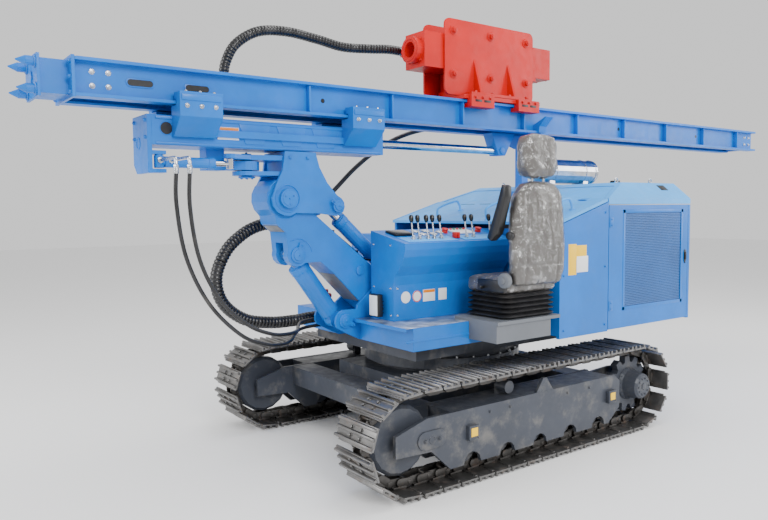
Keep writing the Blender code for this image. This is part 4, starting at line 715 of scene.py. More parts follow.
def shoe_forms(width, pitch):
    """One shoe, flat at z 0 with its grousers up, and the chain links under it."""
    pad = Shape()
    half = pitch * 0.47
    pad.box((-half, -width / 2, -0.010), (half, width / 2, 0.002), 0.0025)
    for share, height in ((-0.36, 0.021), (0.0, 0.017), (0.36, 0.021)):
        x = share * pitch
        foot, tip = 0.0105, 0.0065
        pad.prism([(x - foot, 0.0), (x + foot, 0.0), (x + tip, height), (x - tip, height)], "XZ",
                  -width / 2 + 0.004, width / 2 - 0.004, 0.0012)
    pad.box((half - 0.004, -width / 2 + 0.02, -0.016), (half + 0.010, width / 2 - 0.02, -0.006), 0.002)
    for x in (-0.022, 0.024):
        for y in (-0.045, 0.045):
            pad.bolt((x, y, 0.002), (0, 0, 1), 0.017)
    link = Shape()
    for sign in (-1, 1):
        for shift, inset in ((-0.030, 0.034), (0.030, 0.048)):
            y = sign * inset
            outline = arc((shift - 0.030, -0.045), 0.024, 90, 270, 6)
            outline += arc((shift + 0.034, -0.045), 0.024, 270, 450, 6)
            link.prism(outline, "XZ", y - 0.006, y + 0.006, 0.0015)
        link.box((-0.045, sign * 0.030, -0.024), (0.045, sign * 0.056, -0.010), 0.002)
    link.bar((pitch / 2, -0.058, -0.045), (pitch / 2, 0.058, -0.045), 0.0145, steps=14, bevel=0.001)
    return pad, link


def track(side):
    """One loop of shoes over a chain with two links to each shoe."""
    rear, front, radius, middle, width = track_loop(side)
    inner_length = 2 * (front - rear + math.pi * (radius - CHAIN_DEPTH))
    step = inner_length / SHOE_COUNT
    pads, links = Shape(), Shape()
    pad, link = shoe_forms(width, 0.135)
    plate_depth = 0.072
    for i in range(SHOE_COUNT):
        a = loop_point((i + 0.02) * step, plate_depth, rear, front, radius)
        b = loop_point((i + 0.98) * step, plate_depth, rear, front, radius)
        along = Vector((b[0] - a[0], 0, b[1] - a[1])).normalized()
        out = Vector((0, 1, 0)).cross(along) * -1
        across = out.cross(along)
        centre = Vector(((a[0] + b[0]) / 2, middle, (a[1] + b[1]) / 2))
        place = Matrix.Translation(centre) @ Matrix((along, across, out)).transposed().to_4x4()
        pads.absorb(pad.bm.copy(), place)
        links.absorb(link.bm.copy(), place)
    for shape in (pads, links):
        bmesh.ops.recalc_face_normals(shape.bm, faces=shape.bm.faces)
    shoes = pads.make(f"track_shoes_{side}", SHOE, "undercarriage", "track_steel")
    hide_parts(f"track_{side}")
    links.make(f"track_chain_{side}", CHAIN, "undercarriage", "track_steel")


for side, _ in SIDES:
    track(side)


def undercarriage_details():
    """Frame marks, covers, hub and sprocket bolts, roller ends and the ring of slewing bolts."""
    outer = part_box("track_frame_left")[1].y
    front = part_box("idler_left")
    hub_x, hub_z = (front[0].x + front[1].x) / 2, (front[0].z + front[1].z) / 2
    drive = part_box("sprocket_left")
    drive_x, face = (drive[0].x + drive[1].x) / 2, drive[1].y
    drive_z = (drive[0].z + drive[1].z) / 2
    trim, marks = Shape(), Shape()
    for x in (1.27, -0.02):
        trim.box((x - 0.040, outer - 0.001, 0.250), (x + 0.040, outer + 0.030, 0.335), 0.004)
        trim.bolt((x - 0.028, outer + 0.030, 0.262), (0, 1, 0), 0.009)
        marks.box((x - 0.024, outer + 0.0295, 0.272), (x + 0.026, outer + 0.0315, 0.322), 0.0008)
    trim.prism(slot(1.57, 0.306, 0.05, 0.052), "XZ", outer - 0.001, outer + 0.008, 0.002)
    trim.ring((1.57, outer + 0.008, 0.306), (0, 1, 0), 0.020, 0.004)
    for x in (1.52, 1.62):
        trim.bolt((x, outer + 0.008, 0.306), (0, 1, 0), 0.020)
    trim.bolt_circle((drive_x, face - 0.001, drive_z), (0, 1, 0), 0.058, 10, 0.012)
    trim.bolt_circle((drive_x, face - 0.120, drive_z), (0, 1, 0), 0.109, 16, 0.010, math.pi / 16)
    trim.bar((drive_x, face - 0.002, drive_z), (drive_x, face + 0.006, drive_z), 0.024, steps=6, bevel=0.002)
    trim.bolt_circle((hub_x, front[1].y - 0.001, hub_z), (0, 1, 0), 0.032, 8, 0.008)
    for i in range(5):
        x = 0.68 + (i - 2) * 0.29
        trim.bar((x, 0.884, 0.1703), (x, 0.898, 0.1703), 0.030, steps=24, bevel=0.002)
        trim.bar((x, 0.896, 0.1703), (x, 0.903, 0.1703), 0.012, steps=6)
    for x in (0.20, 0.42, 0.95, 1.12):
        trim.bolt((x, outer - 0.001, 0.385), (0, 1, 0), 0.014)
    trim.mirrored().make("undercarriage_trim", GREY, "undercarriage", "dark_grey")
    marks.mirrored().make("frame_marks", YELLOW, "undercarriage")
    ring = Shape()
    ring.bolt_circle((0.68, 0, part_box("slew_ring")[0].z + 0.074), (0, 0, 1), 0.545, 30, 0.016)
    ring.make("slew_ring_bolts", BRIGHT, "undercarriage", "chrome")


undercarriage_details()


# ---------------------------------------------------------------- platform and cabinet
def platform_details():
    """Chequered floor in front of the console, and the platform's edge trims."""
    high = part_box("deck")[1]
    console_low, console_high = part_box("console")
    rear, front, step = console_low.x - 0.02, console_high.x + 0.004, console_high.y - 0.115
    walk_z = console_low.z
    floor = Shape()
    outline = [(rear, step), (front, step), (front, 0.145), (high.x - 0.004, 0.145), (high.x - 0.004, 0.680),
               (rear, 0.680)]
    floor.prism(outline, "XY", walk_z, walk_z + 0.003, 0.0006)
    floor.make("deck_floor_plate", FLOOR_PLATE, "upper", "aluminium")
    trim = Shape()
    trim.box((0.44, 0.676, 0.800), (high.x - 0.003, 0.6905, 0.812), 0.001)
    trim.box((high.x - 0.006, 0.15, 0.866), (high.x + 0.006, 0.684, 0.886), 0.002)
    trim.make("deck_edge_trim", BLUE, "upper", "blue")


def door_details():
    """A raised frame round each grille, its latch, and the hinges at the door's front edge."""
    for side, sign in SIDES:
        low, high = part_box(f"engine_door_{side}")
        face = high.y if sign > 0 else low.y
        hole_low, hole_high = (-0.97, 0.87), (-0.25, 1.555)
        sheet = Shape()
        sheet.box((hole_low[0] + 0.0006, face - sign * 0.0052, hole_low[1] + 0.0006),
                  (hole_high[0] - 0.0006, face - sign * 0.0028, hole_high[1] - 0.0006), 0.0)
        sheet.make(f"door_perforated_sheet_{side}", DOOR_GRILLE, f"door_{side}", "blue")
        rim = Shape()
        inner, outer = face - sign * 0.001, face + sign * 0.002
        for x in (hole_low[0], hole_high[0]):
            rim.box((x - 0.012, inner, hole_low[1] - 0.012), (x + 0.012, outer, hole_high[1] + 0.012), 0.001)
        for z in (hole_low[1], hole_high[1]):
            rim.box((hole_low[0] - 0.012, inner, z - 0.012), (hole_high[0] + 0.012, outer, z + 0.012), 0.001)
        rim.make(f"door_grille_rim_{side}", BLUE, f"door_{side}", "blue")
        latch = Shape()
        latch.prism(arc((-1.015, 1.245), 0.014, 0, 180, 8) + arc((-1.015, 1.175), 0.014, 180, 360, 8), "XZ",
                    min(face, face + sign * 0.004), max(face, face + sign * 0.004), 0.001)
        latch.box((-1.024, face + sign * 0.003, 1.180), (-1.006, face + sign * 0.012, 1.238), 0.003)
        latch.bar((-1.015, face, 1.160), (-1.015, face + sign * 0.006, 1.160), 0.007, steps=16, bevel=0.001)
        latch.make(f"door_latch_{side}", BLACK, f"door_{side}", "black")
        hinges = Shape()
        for z in (0.90, 1.48):
            hinges.box((-0.124, inner, z - 0.035), (-0.086, face + sign * 0.003, z + 0.035), 0.001)
            for dz in (-0.02, 0.02):
                hinges.bolt((-0.105, face + sign * 0.003, z + dz), (0, sign, 0), 0.008, washer=False)
        hinges.make(f"door_hinges_{side}", BLUE, f"door_{side}", "blue")


def cabinet_details():
    """Rear grille with its rim, panel bolts and the blank label on the left panel."""
    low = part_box("rear_panel")[0]
    sheet = Shape()
    sheet.box((low.x + 0.0028, -0.5494, 0.9506), (low.x + 0.0052, 0.5494, 1.4994), 0.0)
    sheet.make("rear_perforated_sheet", REAR_GRILLE, "upper", "blue")
    rim = Shape()
    for y in (-0.55, 0.55):
        rim.box((low.x - 0.002, y - 0.012, 0.938), (low.x + 0.001, y + 0.012, 1.512), 0.001)
    for z in (0.95, 1.50):
        rim.box((low.x - 0.002, -0.562, z - 0.012), (low.x + 0.001, 0.562, z + 0.012), 0.001)
    for y in (-0.80, 0.80):
        for z in (0.80, 1.18, 1.54):
            rim.bolt((low.x, y, z), (-1, 0, 0), 0.012)
    rim.make("rear_grille_rim", BLUE, "upper", "blue")
    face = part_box("side_panel_left")[1].y
    panel = Shape()
    for x, z in ((-0.04, 0.78), (-0.04, 1.18), (-0.04, 1.55), (0.39, 0.78), (0.39, 1.14), (0.39, 1.42)):
        panel.bolt((x, face - 0.0005, z), (0, 1, 0), 0.012)
    panel.mirrored().make("side_panel_bolts", BLUE, "upper", "blue")
    label = Shape()
    label.box((0.265, face - 0.0004, 1.140), (0.345, face + 0.0012, 1.345), 0.0005)
    label.box((0.160, face - 0.0004, 1.240), (0.270, face + 0.0010, 1.335), 0.0005)
    label.make("side_label", YELLOW, "upper")
    patch = Shape()
    patch.box((0.145, face - 0.0004, 1.155), (0.262, face + 0.0014, 1.262), 0.0004)
    patch.make("side_label_patch", WHITE, "upper")


def handle(shape, start, end, rise, out, radius=0.009):
    """A bent grab handle on two flanged feet."""
    start, end, out = Vector(start), Vector(end), Vector(out).normalized()
    inward = (end - start).normalized()
    corner = 0.035
    points = [start, start + out * (rise - corner)]
    points.append(start + out * rise + inward * corner)
    points += [end + out * rise - inward * corner, end + out * (rise - corner), end]
    shape.tube(smooth_route(points, 0.008), radius, sides=14)
    for foot in (start, end):
        shape.bar(foot - out * 0.001, foot + out * 0.006, 0.022, steps=24, bevel=0.001)
        shape.ring(foot + out * 0.007, out, radius, 0.002, steps=20, sides=6)


def hood_details():
    """Handles, hinges, slots and edge lips of the lid, the slots as black strips of painted shade, then the
    cap, vents and eyes of the roof.
    """
    low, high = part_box("hood_lid")
    slope = (low.z + 0.02 - high.z) / (high.x - low.x)
    up = Vector((-slope, 0, 1)).normalized()

    def on_lid(x, y):
        return Vector((x, y, high.z + slope * (x - low.x)))

    bars = Shape()
    for y in (-0.34, 0.20, 0.78):
        handle(bars, on_lid(0.18, y), on_lid(0.41, y), 0.085, up)
    bars.make("hood_handles", PALE, "lid", "pale_blue")
    hinges, slot_shade = Shape(), Shape()
    for y in (-0.70, 0.0, 0.70):
        place = on_lid(low.x + 0.016, y)
        hinges.box(place - Vector((0.012, 0.035, 0.002)), place + Vector((0.030, 0.035, 0.003)), 0.001)
        hinges.bar(place + Vector((-0.014, -0.035, 0.004)), place + Vector((-0.014, 0.035, 0.004)), 0.006,
                   steps=14)
    # Black strips where the vent slots are: painted shade of the openings.
    for y in (-0.42, -0.20):
        place = on_lid(0.02, y)
        slot_shade.box(place - Vector((0.006, 0.08, 0.002)), place + Vector((0.006, 0.08, 0.0012)), 0.0006)
    hinges.make("hood_hinges", PALE, "lid", "pale_blue")
    slot_shade.make("hood_vent_slot_shade", BLACK, "lid", "black")
    ribs = Shape()
    for y in (-0.885, 0.871):
        a, b = on_lid(low.x + 0.01, 0), on_lid(high.x - 0.004, 0)
        middle, half = (a + b) / 2, (b - a).length / 2
        turn = Matrix.Rotation(-math.atan(slope), 4, "Y")
        ribs.box((-half, -0.0005, -0.001), (half, 0.0145, 0.0025), 0.0008,
                 matrix=Matrix.Translation((middle.x, y, middle.z)) @ turn)
    ribs.make("hood_edge_lips", PALE, "lid", "pale_blue")
    roof_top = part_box("roof")[1].z
    top = Shape()
    top.bar((-0.78, 0.42, roof_top - 0.001), (-0.78, 0.42, roof_top + 0.014), 0.055, steps=32, bevel=0.003)
    top.bar((-0.78, 0.42, roof_top + 0.012), (-0.78, 0.42, roof_top + 0.030), 0.038, steps=12, bevel=0.003)
    top.make("fuel_cap", BLACK, "upper", "black")
    vent = Shape()
    chamfer = Vector((0, 0.12, 0.146)).normalized()
    across = Vector((1, 0, 0))
    turn = Matrix((across, chamfer.cross(across), chamfer)).transposed().to_4x4()
    for sign in (-1, 1):
        place = Matrix.Translation((-0.86, 0.785, 1.728))
        flip = Matrix.Scale(sign, 4, (0, 1, 0))
        vent.box((-0.045, -0.030, -0.001), (0.045, 0.030, 0.002), 0.001, matrix=flip @ place @ turn)
    vent.make("roof_vents", BLACK, "upper", "black")
    lift = Shape()
    for x in (-0.95, -0.52):
        for y in (-0.55, 0.62):
            lift.ring((x, y, roof_top + 0.020), (0, 1, 0), 0.018, 0.005, steps=24, sides=8)
            lift.bar((x, y, roof_top - 0.001), (x, y, roof_top + 0.006), 0.016, steps=20, bevel=0.001)
    lift.make("roof_eyes", BRIGHT, "upper", "chrome")


def exhaust_details():
    """Bands round the silencer and its short outlet."""
    low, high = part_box("muffler")
    y, z = (low.y + high.y) / 2, high.z - 0.10
    bands = Shape()
    for x in (low.x + 0.03, low.x + 0.15, -0.50):
        bands.ring((x, y, z), (1, 0, 0), 0.100, 0.0035, steps=40, sides=8)
    bands.ring((low.x + 0.002, y, z), (1, 0, 0), 0.095, 0.005, steps=40, sides=8)
    bands.bar((low.x + 0.004, y, z), (low.x - 0.001, y, z), 0.088, 0.080, steps=40)
    bands.bar((low.x + 0.002, y + 0.03, z + 0.02), (low.x - 0.055, y + 0.03, z + 0.02), 0.030, 0.024,
              steps=28)
    bands.make("muffler_bands", EXHAUST, "upper", "aluminium")


platform_details()
door_details()
cabinet_details()
hood_details()
exhaust_details()


# ---------------------------------------------------------------- console
# Height along the lever and radius.
KNOB_PROFILE = ((0.0, 0.006), (0.010, 0.012), (0.026, 0.0155), (0.040, 0.0150), (0.049, 0.0095),
                (0.0505, 0.001))
LEVER_X = (1.29, 1.24, 1.17, 1.12, 1.06, 0.84, 0.78, 0.62)


CONSOLE_DROP = 0.073
CONSOLE_LEAN = -CONSOLE_DROP / (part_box("console")[1].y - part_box("console")[0].y)
CONSOLE_UP = Vector((0, -CONSOLE_LEAN, 1)).normalized()
CONSOLE_TURN = Matrix.Rotation(math.atan(CONSOLE_LEAN), 4, "X")


def console_top(x, y):
    """A point on the console's top at the place given, where the top falls towards the operator."""
    low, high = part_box("console")
    return Vector((x, y, high.z + CONSOLE_LEAN * (y - low.y)))


def panel(shape, x0, x1, y0, y1, thick, bevel=0.001):
    """A flat panel lying on the console's top."""
    middle = console_top((x0 + x1) / 2, (y0 + y1) / 2) + CONSOLE_UP * thick / 2
    half = Vector(((x1 - x0) / 2, (y1 - y0) / 2, thick / 2))
    shape.box(-half, half, bevel, matrix=Matrix.Translation(middle) @ CONSOLE_TURN)


def console_levers():
    """The two lever plates and a boot, stem and knob for each lever."""
    up = CONSOLE_UP
    strips, stems, knobs = Shape(), Shape(), Shape()
    panel(strips, 0.96, 1.37, 0.385, 0.505, 0.004)
    panel(strips, 0.56, 0.90, 0.385, 0.505, 0.004)
    for x in (0.98, 1.35, 0.58, 0.88):
        for y in (0.395, 0.495):
            strips.bolt(console_top(x, y) + up * 0.004, up, 0.007, washer=False)
    lever_strip = strips.make("lever_plates", PALE, "upper", "blue")
    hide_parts("control_levers")
    for x in LEVER_X:
        foot = console_top(x, 0.445) + up * 0.004
        head = Vector((x, 0.430, 1.500))
        for j in range(4):
            stems.ring(foot + up * (0.003 + 0.006 * j), up, 0.013 - 0.0018 * j, 0.0028, steps=20, sides=8)
        stems.tube([foot, foot + (head - foot) * 0.5, head], 0.0048, sides=12)
        axis = (head - foot).normalized()
        for (h0, r0), (h1, r1) in zip(KNOB_PROFILE, KNOB_PROFILE[1:]):
            knobs.bar(head + axis * (h0 - 0.002), head + axis * (h1 - 0.002), r0, r1, steps=20)
    stems.make("lever_stems", BRIGHT, "upper", "chrome")
    knobs.make("lever_knobs", KNOB, "upper", "black", angle=60)


def console_dials():
    """Display, gauges, switches, stop buttons and the two red valves."""
    up = CONSOLE_UP
    display, frame_box, gauges, dials = Shape(), Shape(), Shape(), Shape()
    panel(frame_box, 1.205, 1.355, 0.235, 0.350, 0.016, 0.004)
    middle = console_top(1.28, 0.2925) + up * 0.0165
    place = Matrix.Translation(middle) @ CONSOLE_TURN
    display.box((-0.062, -0.046, -0.001), (0.062, 0.046, 0.001), 0.0004, matrix=place)
    frame_box.make("display_housing", BLACK, "upper", "black")
    display.make("display_screen", GLASS_DARK, "upper", "black")
    for x, y in ((1.12, 0.25), (1.12, 0.33), (1.03, 0.25), (1.03, 0.33), (0.94, 0.29)):
        place = console_top(x, y)
        gauges.bar(place - up * 0.001, place + up * 0.007, 0.030, steps=32, bevel=0.002)
        gauges.ring(place + up * 0.008, up, 0.026, 0.0022, steps=32, sides=8)
        dials.bar(place + up * 0.0065, place + up * 0.0078, 0.0235, steps=32)
    gauges.make("gauge_bezels", BRIGHT, "upper", "chrome")
    dials.make("gauge_dials", WHITE, "upper")
    cluster, greens, red_caps = Shape(), Shape(), Shape()
    panel(cluster, 0.665, 0.835, 0.225, 0.345, 0.010, 0.003)
    cluster.make("switch_panel", WHITE, "upper")
    for i, x in enumerate((0.69, 0.72, 0.75, 0.78, 0.81)):
        shape = greens if i % 2 else red_caps
        place = console_top(x, 0.25) + up * 0.010
        shape.bar(place, place + up * 0.009, 0.0095, steps=20, bevel=0.002)
    for x in (0.60, 0.905):
        place = console_top(x, 0.30)
        red_caps.bar(place, place + up * 0.024, 0.022, 0.018, steps=24, bevel=0.003)
        red_caps.ring(place + up * 0.027, up, 0.018, 0.006, steps=28, sides=10)
    valve = console_top(0.930, 0.445)
    for dx in (-0.012, 0.014):
        red_caps.box(valve + Vector((dx - 0.009, -0.016, 0.0)), valve + Vector((dx + 0.009, 0.016, 0.040)),
                     0.003)
    greens.make("green_buttons", GREEN_CAP, "upper")
    red_caps.make("red_buttons", RED_CAP, "upper", "red")


def console_marks():
    """Blank stickers and labels on the operator's side, and the console's bolts."""
    low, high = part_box("console")
    face = 0.41
    round_marks, plates, strips_orange = Shape(), Shape(), Shape()
    for x in (1.325, 1.235):
        round_marks.bar((x, face - 0.0002, 1.03), (x, face + 0.0012, 1.03), 0.037, steps=40)
    plates.box((1.085, face - 0.0002, 0.992), (1.185, face + 0.0012, 1.068), 0.0004)
    plates.box((0.985, face - 0.0002, 0.992), (1.055, face + 0.0012, 1.068), 0.0004)
    strips_orange.box((1.087, face + 0.0008, 1.048), (1.183, face + 0.0018, 1.066), 0.0003)
    round_marks.make("round_stickers", WHITE, "upper")
    plates.make("console_labels", WHITE, "upper")
    strips_orange.make("label_strips", ORANGE, "upper")
    bolts = Shape()
    for x in (low.x + 0.03, high.x - 0.03):
        for z in (0.92, 1.09):
            bolts.bolt((x, face - 0.0005, z), (0, 1, 0), 0.010)
    for y in (0.20, 0.38):
        for z in (0.92, 1.09, 1.36):
            bolts.bolt((high.x - 0.0005, y, z), (1, 0, 0), 0.010)
    bolts.make("console_bolts", BRIGHT, "upper", "chrome")
    red_ring = Shape()
    red_ring.ring((1.235, face + 0.0008, 1.03), (0, 1, 0), 0.034, 0.0028, steps=48, sides=8)
    red_ring.make("round_sticker_ring", RED_CAP, "upper", "red")


def work_lamp():
    """A square lamp with cooling fins, on the console's front."""
    lamp_low, lamp_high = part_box("work_lamp")
    housing, lens = Shape(), Shape()
    housing.box((lamp_low.x + 0.016, lamp_low.y + 0.006, lamp_low.z - 0.012),
                (lamp_high.x - 0.004, lamp_high.y - 0.006, lamp_high.z + 0.022), 0.006, 3)
    for z in (lamp_low.z + 0.010, lamp_low.z + 0.034, lamp_low.z + 0.058, lamp_low.z + 0.082):
        housing.box((lamp_low.x + 0.005, lamp_low.y + 0.014, z),
                    (lamp_low.x + 0.020, lamp_high.y - 0.014, z + 0.006), 0.001)
    housing.bar((lamp_low.x - 0.010, lamp_low.y + 0.055, lamp_low.z + 0.035),
                (lamp_low.x + 0.018, lamp_low.y + 0.055, lamp_low.z + 0.035), 0.014, steps=20)
    lens.box((lamp_high.x - 0.006, lamp_low.y + 0.014, lamp_low.z - 0.004),
             (lamp_high.x - 0.0015, lamp_high.y - 0.014, lamp_high.z + 0.014), 0.001)
    lamp_piece = housing.make("lamp_housing", BLACK, "upper", "black")
    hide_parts("work_lamp")
    lens.make("lamp_lens", LENS, "upper", "chrome")


console_levers()
console_dials()
console_marks()
work_lamp()


# ---------------------------------------------------------------- seat
def pad_form(name, low, high, crown, rows=7):
    """A crowned closed pad: its faces bulge and its sides pull in between the corners."""
    low, high = Vector(low), Vector(high)
    bm = bmesh.new()
    bmesh.ops.create_cube(bm, size=2.0)
    bmesh.ops.subdivide_edges(bm, edges=bm.edges[:], cuts=rows, use_grid_fill=True)
    half = (high - low) / 2
    middle = (high + low) / 2
    for vert in bm.verts:
        x, y, z = vert.co
        bulge = Vector((x * (1 - abs(y) ** 3) * (1 - abs(z) ** 3), y * (1 - abs(x) ** 3) * (1 - abs(z) ** 3),
                        z * (1 - abs(x) ** 3) * (1 - abs(y) ** 3)))
        length = max(abs(x), abs(y), abs(z))
        soft = Vector((x, y, z)) * (1 - 0.06 * (Vector((x, y, z)).length - length))
        place = Vector((soft[i] * half[i] + bulge[i] * crown for i in range(3)))
        vert.co = middle + place
    mesh = bpy.data.meshes.new(name)
    bm.to_mesh(mesh)
    bm.free()
    obj = bpy.data.objects.new(name, mesh)
    bpy.context.scene.collection.objects.link(obj)
    return obj


def stuff(obj, cap, voxel=0.009, pressure=4.0):
    """Fills a pad by cloth simulation, and keeps each point within the cap of where it began."""
    bpy.context.view_layer.objects.active = obj
    remesh = obj.modifiers.new("even", "REMESH")
    remesh.mode = "VOXEL"
    remesh.voxel_size = voxel
    apply_modifiers(obj)
    start = [v.co.copy() for v in obj.data.vertices]
    cloth = obj.modifiers.new("cloth", "CLOTH")
    cloth.settings.use_pressure = True
    cloth.settings.uniform_pressure_force = pressure
    cloth.settings.quality = 4
    cloth.settings.effector_weights.gravity = 0.0
    cloth.settings.tension_stiffness = 25
    cloth.settings.compression_stiffness = 25
    scene = bpy.context.scene
    for number in range(1, 15):
        scene.frame_set(number)
    apply_modifiers(obj)
    scene.frame_set(1)
    for vert, first in zip(obj.data.vertices, start):
        move = vert.co - first
        if move.length > cap:
            vert.co = first + move.normalized() * cap
    return obj


def apply_modifiers(obj):
    """Turns the modifiers of a piece into its mesh."""
    graph = bpy.context.evaluated_depsgraph_get()
    mesh = bpy.data.meshes.new_from_object(obj.evaluated_get(graph))
    obj.modifiers.clear()
    obj.data = mesh


def channel(obj, axis, places, depth, width):
    """Sewn channels: narrow grooves across a pad at the places given along one axis."""
    mesh = obj.data
    for vert in mesh.vertices:
        for place in places:
            away = abs(vert.co[axis] - place)
            if away < width:
                vert.co -= vert.normal * depth * (0.5 + 0.5 * math.cos(math.pi * away / width))
    mesh.update()


def finish_pad(obj, look, node, limits=None):
    mesh = obj.data
    if limits:
        low, high = limits
        for vert in mesh.vertices:
            for i in range(3):
                vert.co[i] = min(max(vert.co[i], low[i]), high[i])
    mesh.shade_smooth()
    mesh.materials.clear()
    mesh.materials.append(look)
    smooth = obj.modifiers.new("smooth", "SUBSURF")
    smooth.levels = 1
    smooth.render_levels = 1
    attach(obj, "upper")
    if node:
        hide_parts(node)
    return obj


def film_over(obj, name, puff):
    """Clear film laid loosely over a pad: the pad's own form, pushed out and creased."""
    copy = obj.copy()
    copy.data = obj.data.copy()
    copy.name = name
    bpy.context.scene.collection.objects.link(copy)
    copy.modifiers.clear()
    for key in list(copy.keys()):
        del copy[key]
    for vert in copy.data.vertices:
        place = vert.co
        long_fold = noise.turbulence(Vector((place.x * 22.0, place.y * 9.0, place.z * 4.5)), 3, False)
        fold = 1.3 * long_fold + 0.4 * noise.noise(place * 27.0)
        vert.co = place + vert.normal * puff * (0.5 + max(-0.3, min(1.5, fold)))
    copy.data.materials.clear()
    copy.data.materials.append(FILM)
    copy.parent = None
    smooth = copy.modifiers.new("smooth", "SUBSURF")
    smooth.levels = 1
    smooth.render_levels = 1
    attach(copy, "upper")
    return copy


def seat():
    """Cushion, back and headrest under clear film, with the armrest and the side cover."""
    low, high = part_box("seat_cushion")
    cushion = pad_form("seat_cushion_pad", low + Vector((0.012, 0.010, 0.004)),
                       high - Vector((0.012, 0.010, 0.014)), 0.010)
    stuff(cushion, 0.010)
    channel(cushion, 0, [low.x + 0.13, high.x - 0.13], 0.006, 0.012)
    channel(cushion, 1, [low.y + 0.10, low.y + 0.21], 0.004, 0.010)
    finish_pad(cushion, CLOTH, "seat_cushion", (low, high))
    film_over(cushion, "cushion_film", 0.005)
    low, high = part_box("seat_back")
    back_bottom, back_top, middle = 1.105, 1.748, 0.715
    back = pad_form("seat_back_pad", (0.485, 0.912, back_bottom), (0.945, 0.978, back_top), 0.008)
    for vert in back.data.vertices:
        share = (vert.co.z - back_bottom) / (back_top - back_bottom)
        taper = 1.0 - 0.16 * max(0.0, share - 0.35) ** 1.3
        taper -= 0.34 * max(0.0, (share - 0.78) / 0.22) ** 2.4
        taper -= 0.14 * max(0.0, (0.14 - share) / 0.14) ** 2
        vert.co.x = middle + (vert.co.x - middle) * taper
        vert.co.y += 0.010 * math.sin(math.pi * share) - 0.006
        if share < 0:
            vert.co.z = back_bottom
    stuff(back, 0.010)
    channel(back, 0, [0.575, 0.855], 0.006, 0.012)
    channel(back, 2, [1.24, 1.36, 1.48, 1.60], 0.004, 0.010)
    finish_pad(back, CLOTH, "seat_back", ((low.x, low.y, low.z), (high.x, high.y - 0.004, high.z)))
    film_over(back, "back_film", 0.006)
    rest = pad_form("headrest_pad", (0.575, 0.893, 1.772), (0.855, 0.988, 2.022), 0.008)
    for vert in rest.data.vertices:
        share = abs((vert.co.z - 1.897) / 0.125)
        vert.co.x = middle + (vert.co.x - middle) * (1.0 - 0.24 * min(share, 1.1) ** 4)
    stuff(rest, 0.009)
    channel(rest, 2, [1.90], 0.004, 0.010)
    finish_pad(rest, CLOTH, None)
    film_over(rest, "headrest_film", 0.005)
    frame_parts = Shape()
    for x in (0.665, 0.765):
        frame_parts.bar((x, 0.948, 1.72), (x, 0.948, 1.80), 0.007, steps=16)
    frame_parts.make("headrest_posts", BRIGHT, "upper", "chrome")
    disc = Shape()
    disc.bar((0.955, 0.925, 1.150), (0.990, 0.925, 1.150), 0.046, steps=40, bevel=0.006)
    disc.bar((0.988, 0.925, 1.150), (1.000, 0.925, 1.150), 0.022, steps=32, bevel=0.004)
    disc.make("seat_recliner_disc", LIGHT, "upper", "light_grey")
    arm = Shape()
    outline = [(0.815, 1.405), (0.850, 1.385), (0.905, 1.43), (0.972, 1.65), (0.972, 1.715), (0.940, 1.725),
               (0.895, 1.60)]
    arm.prism(outline, "YZ", 0.962, 1.020, 0.010)
    arm.bar((0.950, 0.955, 1.42), (0.975, 0.955, 1.42), 0.024, steps=24, bevel=0.003)
    arm.make("seat_armrest", BLACK, "upper", "black")
    side = Shape()
    side.box((0.955, 0.70, 1.075), (0.985, 0.93, 1.150), 0.006)
    side.bar((0.985, 0.75, 1.10), (1.012, 0.75, 1.10), 0.010, steps=16, bevel=0.002)
    side.make("seat_side_cover", BLACK, "upper", "black")


def bellows():
    """Rubber bellows: five rounded folds between the seat and its bracket."""
    low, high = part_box("seat_bellows")
    folds = 5
    levels = folds * 8
    shape = Shape()
    bm = shape.bm
    rings = []
    for i in range(levels + 1):
        share = i / levels
        swell = 0.5 - 0.5 * math.cos(2 * math.pi * share * folds)
        inset = 0.026 * (1 - swell ** 0.8)
        x0, x1 = low.x + inset, high.x - inset
        y0, y1 = low.y + inset, high.y - inset
        corner = 0.05
        outline = (arc((x1 - corner, y1 - corner), corner, 0, 90, 5)
                   + arc((x0 + corner, y1 - corner), corner, 90, 180, 5)
                   + arc((x0 + corner, y0 + corner), corner, 180, 270, 5)
                   + arc((x1 - corner, y0 + corner), corner, 270, 360, 5))
        z = low.z + (high.z - low.z) * share
        rings.append([bm.verts.new((x, y, z)) for x, y in outline])
    for first, second in zip(rings, rings[1:]):
        for k in range(len(first)):
            j = (k + 1) % len(first)
            bm.faces.new((first[k], first[j], second[j], second[k]))
    bm.faces.new(rings[0])
    bm.faces.new(rings[-1])
    bmesh.ops.recalc_face_normals(bm, faces=bm.faces)
    piece = shape.make("seat_bellows_folds", BELLOWS, "upper", "black", angle=70)
    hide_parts("seat_bellows")


seat()
bellows()


# ---------------------------------------------------------------- boom, cylinders and head
HEAD_PIN_Z = 1.654
FEED_Z = 2.022
RAM_Z = 2.68


def pin_end(shape, x, y, z, sign, radius, keeper=None):
    """A pin's flanged end with a grease nipple, and the keeper plate that locks it."""
    out = Vector((0, sign, 0))
    centre = Vector((x, y, z))
    shape.bar(centre - out * 0.001, centre + out * 0.010, radius * 1.45, steps=40, bevel=0.002)
    shape.bar(centre + out * 0.008, centre + out * 0.018, radius, steps=32, bevel=0.002)
    shape.bar(centre + out * 0.017, centre + out * 0.024, 0.006, 0.004, steps=12)
    if keeper:
        toward = Vector((keeper[0], 0, keeper[1])).normalized()
        side = toward.cross(out)
        reach = radius * 2.3
        turn = Matrix((toward, out, side)).transposed().to_4x4()
        shape.box((radius * 0.6, 0.010, -0.014), (reach, 0.016, 0.014), 0.002,
                  matrix=Matrix.Translation(centre) @ turn)
        shape.bolt(centre + toward * (reach - 0.012) + out * 0.016, out, 0.014, washer=False)


